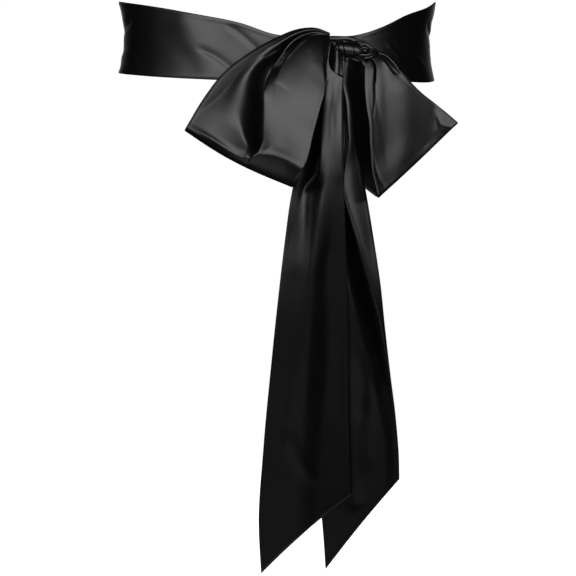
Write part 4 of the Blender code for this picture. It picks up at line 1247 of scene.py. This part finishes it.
# A tube's rows go round it and its columns along it, and the cloth map turns in the same way.
along, around = tube_grid(np.linspace(0, 1, STRAND_GRID[0]), STRAND_GRID[1])
strands, strand_area = [], 0.0
for name, rows in STRANDS:
    points = strand_points(rows, along, math.pi * (2 * around - 1))
    path = np.array(rows)[:, :3]
    length = np.linalg.norm(np.diff(path, axis=0), axis=1).sum()
    girth = GIRTH * np.array(rows)[:, 3].mean()
    strands.append((points, flat_map(along, around, length, girth)))
    strand_area += area_of(points, tube=True) / 2
    print(name, "is", round(length, 1), "mm long and", round(girth, 1), "mm round")
small_folds = closed_body("knot_folds", strands)
dress(small_folds, 8.0)
print("the small folds show", round(strand_area * 1e6), "square mm of cloth")

# %% [markdown]
# ## Floor and light
# Black cloth is lit by what it reflects. One wide soft box stands in front, a little above the bow and
# close to it, so that the band and the bow throw it back. A black card in front of the tails keeps it off
# them, so that they fall off into black, and a weak light from below stands in for what the floor throws
# back. Two more stand behind, out of the camera's sight: one gives the back of the sash form, and a wide,
# weak one draws a thin line of light along the edges. The floor is pale, and is left out of reflections, as
# black cards would keep it out in a studio.

# %% Make the floor
FLOOR_HEIGHT, FLOOR_RADIUS = -620.0, 9000.0
WALL_HEIGHT, WALL_LEAN = 4000.0, 0.12  # how high the wall rises, and how far it leans in, as a share
FLAT_SHARE = 0.72  # of the radius
PALE = (0.86, 0.86, 0.87, 1.0)
PALE_GLOW = 1.17  # how strongly the floor glows, so that it needs no light of its own
FLOOR_GRID = (60, 96)  # points outwards and round it


def pale_floor():
    """A flat disc that bends up into a wall all round: height grows with the square past the flat part.
    It is a tube whose first column meets in the middle, and whose last one, the rim, stays open."""
    share, around = tube_grid(np.linspace(0, 1, FLOOR_GRID[0]), FLOOR_GRID[1])
    angle = 2 * math.pi * around
    rise = np.maximum(share - FLAT_SHARE, 0) / (1 - FLAT_SHARE)
    radius = FLOOR_RADIUS * (share - WALL_LEAN * rise**3)
    points = [radius * np.cos(angle), radius * np.sin(angle), FLOOR_HEIGHT + WALL_HEIGHT * rise**2]
    made = closed_body("floor", [(np.stack(points, -1), flat_map(share, angle, 1.0, 1.0))])
    shader = Shader("pale_floor")
    shader.set(Base_Color=PALE, Roughness=0.9, Emission_Color=PALE, Emission_Strength=PALE_GLOW)
    made.data.materials.append(shader.material)
    made.visible_glossy = False
    made.visible_diffuse = False
    made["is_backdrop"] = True


pale_floor()
print("the floor is a disc of", FLOOR_RADIUS * MM, "m radius at a height of", FLOOR_HEIGHT * MM, "m")

# %% Place the lights and the black card
BOW = (0.0, -0.1, -0.08)  # where most lights aim, in metres


def soft_box(name, place, size, power, aim=BOW):
    """A rectangular area light, size = (across, up) in metres, power in watts, turned towards aim."""
    light = bpy.data.lights.new(name, "AREA")
    light.shape = "RECTANGLE"
    light.size, light.size_y = size
    light.energy = power
    made = add_object(name, light)
    made.location = place
    made.rotation_euler = turned_to(Vector(aim) - Vector(place))
    made.visible_camera = False


def black_flag(name, place, size):
    """An upright black card, size = (across, up), that shades what lies below the bow from the key light."""
    x, y, z = place
    across, up = size[0] / 2, size[1] / 2
    corners = [(x + a * across, y, z + b * up) for a, b in ((-1, -1), (1, -1), (1, 1), (-1, 1))]
    mesh = bpy.data.meshes.new(name)
    mesh.from_pydata(corners, [], [(0, 1, 2, 3)])
    made = add_object(name, mesh)
    shader = Shader(name)
    shader.set(Base_Color=(0.0, 0.0, 0.0, 1.0), Roughness=1.0, Specular_IOR_Level=0.0)
    mesh.materials.append(shader.material)
    made.visible_camera = False
    made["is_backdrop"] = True


black_flag("flag", (0.0, -0.45, -0.2), (1.8, 0.3))
soft_box("key", (-0.05, -1.05, 0.2), (3.1, 0.6), 21.5)
soft_box("floor_bounce", (-0.1, -0.7, -0.6), (0.7, 1.4), 1.35, (-0.1, -0.7, 0.0))
soft_box("back", (0.0, 2.6, 0.35), (1.5, 0.9), 14.0)
soft_box("edges", (0.0, 2.6, 0.1), (3.2, 0.7), 2.6)
print("lights:", {light.name: f"{light.energy:.2f} W" for light in bpy.data.lights})

# %% Make the world
WORLD_SEEN = (0.93, 0.93, 0.94, 1.0)  # the background that the camera sees
WORLD_LIGHT = 0.003  # how brightly it lights the sash
world = bpy.data.worlds.new("studio")
world.use_nodes = True
nodes, links = world.node_tree.nodes, world.node_tree.links
for_light, for_camera = nodes["Background"], nodes.new("ShaderNodeBackground")
for_light.inputs["Color"].default_value = (1.0, 1.0, 1.0, 1.0)
for_light.inputs["Strength"].default_value = WORLD_LIGHT
for_camera.inputs["Color"].default_value = WORLD_SEEN
seen, choose = nodes.new("ShaderNodeLightPath"), nodes.new("ShaderNodeMixShader")
sources = (seen.outputs["Is Camera Ray"], for_light.outputs[0], for_camera.outputs[0])
for socket, source in zip(choose.inputs, sources):
    links.new(source, socket)
links.new(choose.outputs[0], nodes["World Output"].inputs["Surface"])
bpy.context.scene.world = world
bpy.context.scene.view_settings.view_transform = "Standard"
print("the world is seen at", WORLD_SEEN[0], "and lights at", WORLD_LIGHT)

# %% [markdown]
# ## Compare the boxes
# The spans of the solids' box and of the visual model's box are printed side by side, axis by axis.
# The visual model has to stay inside the solids' box, but for a little fullness.

# %% Write the two boxes and finish
shown_box = [list(corner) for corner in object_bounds()]
for axis, name in enumerate("xyz"):
    spans = [box[1][axis] - box[0][axis] for box in (solids_box, shown_box)]
    print(f"{name}: solids {spans[0] / MM:.1f} mm, shown {spans[1] / MM:.1f} mm")
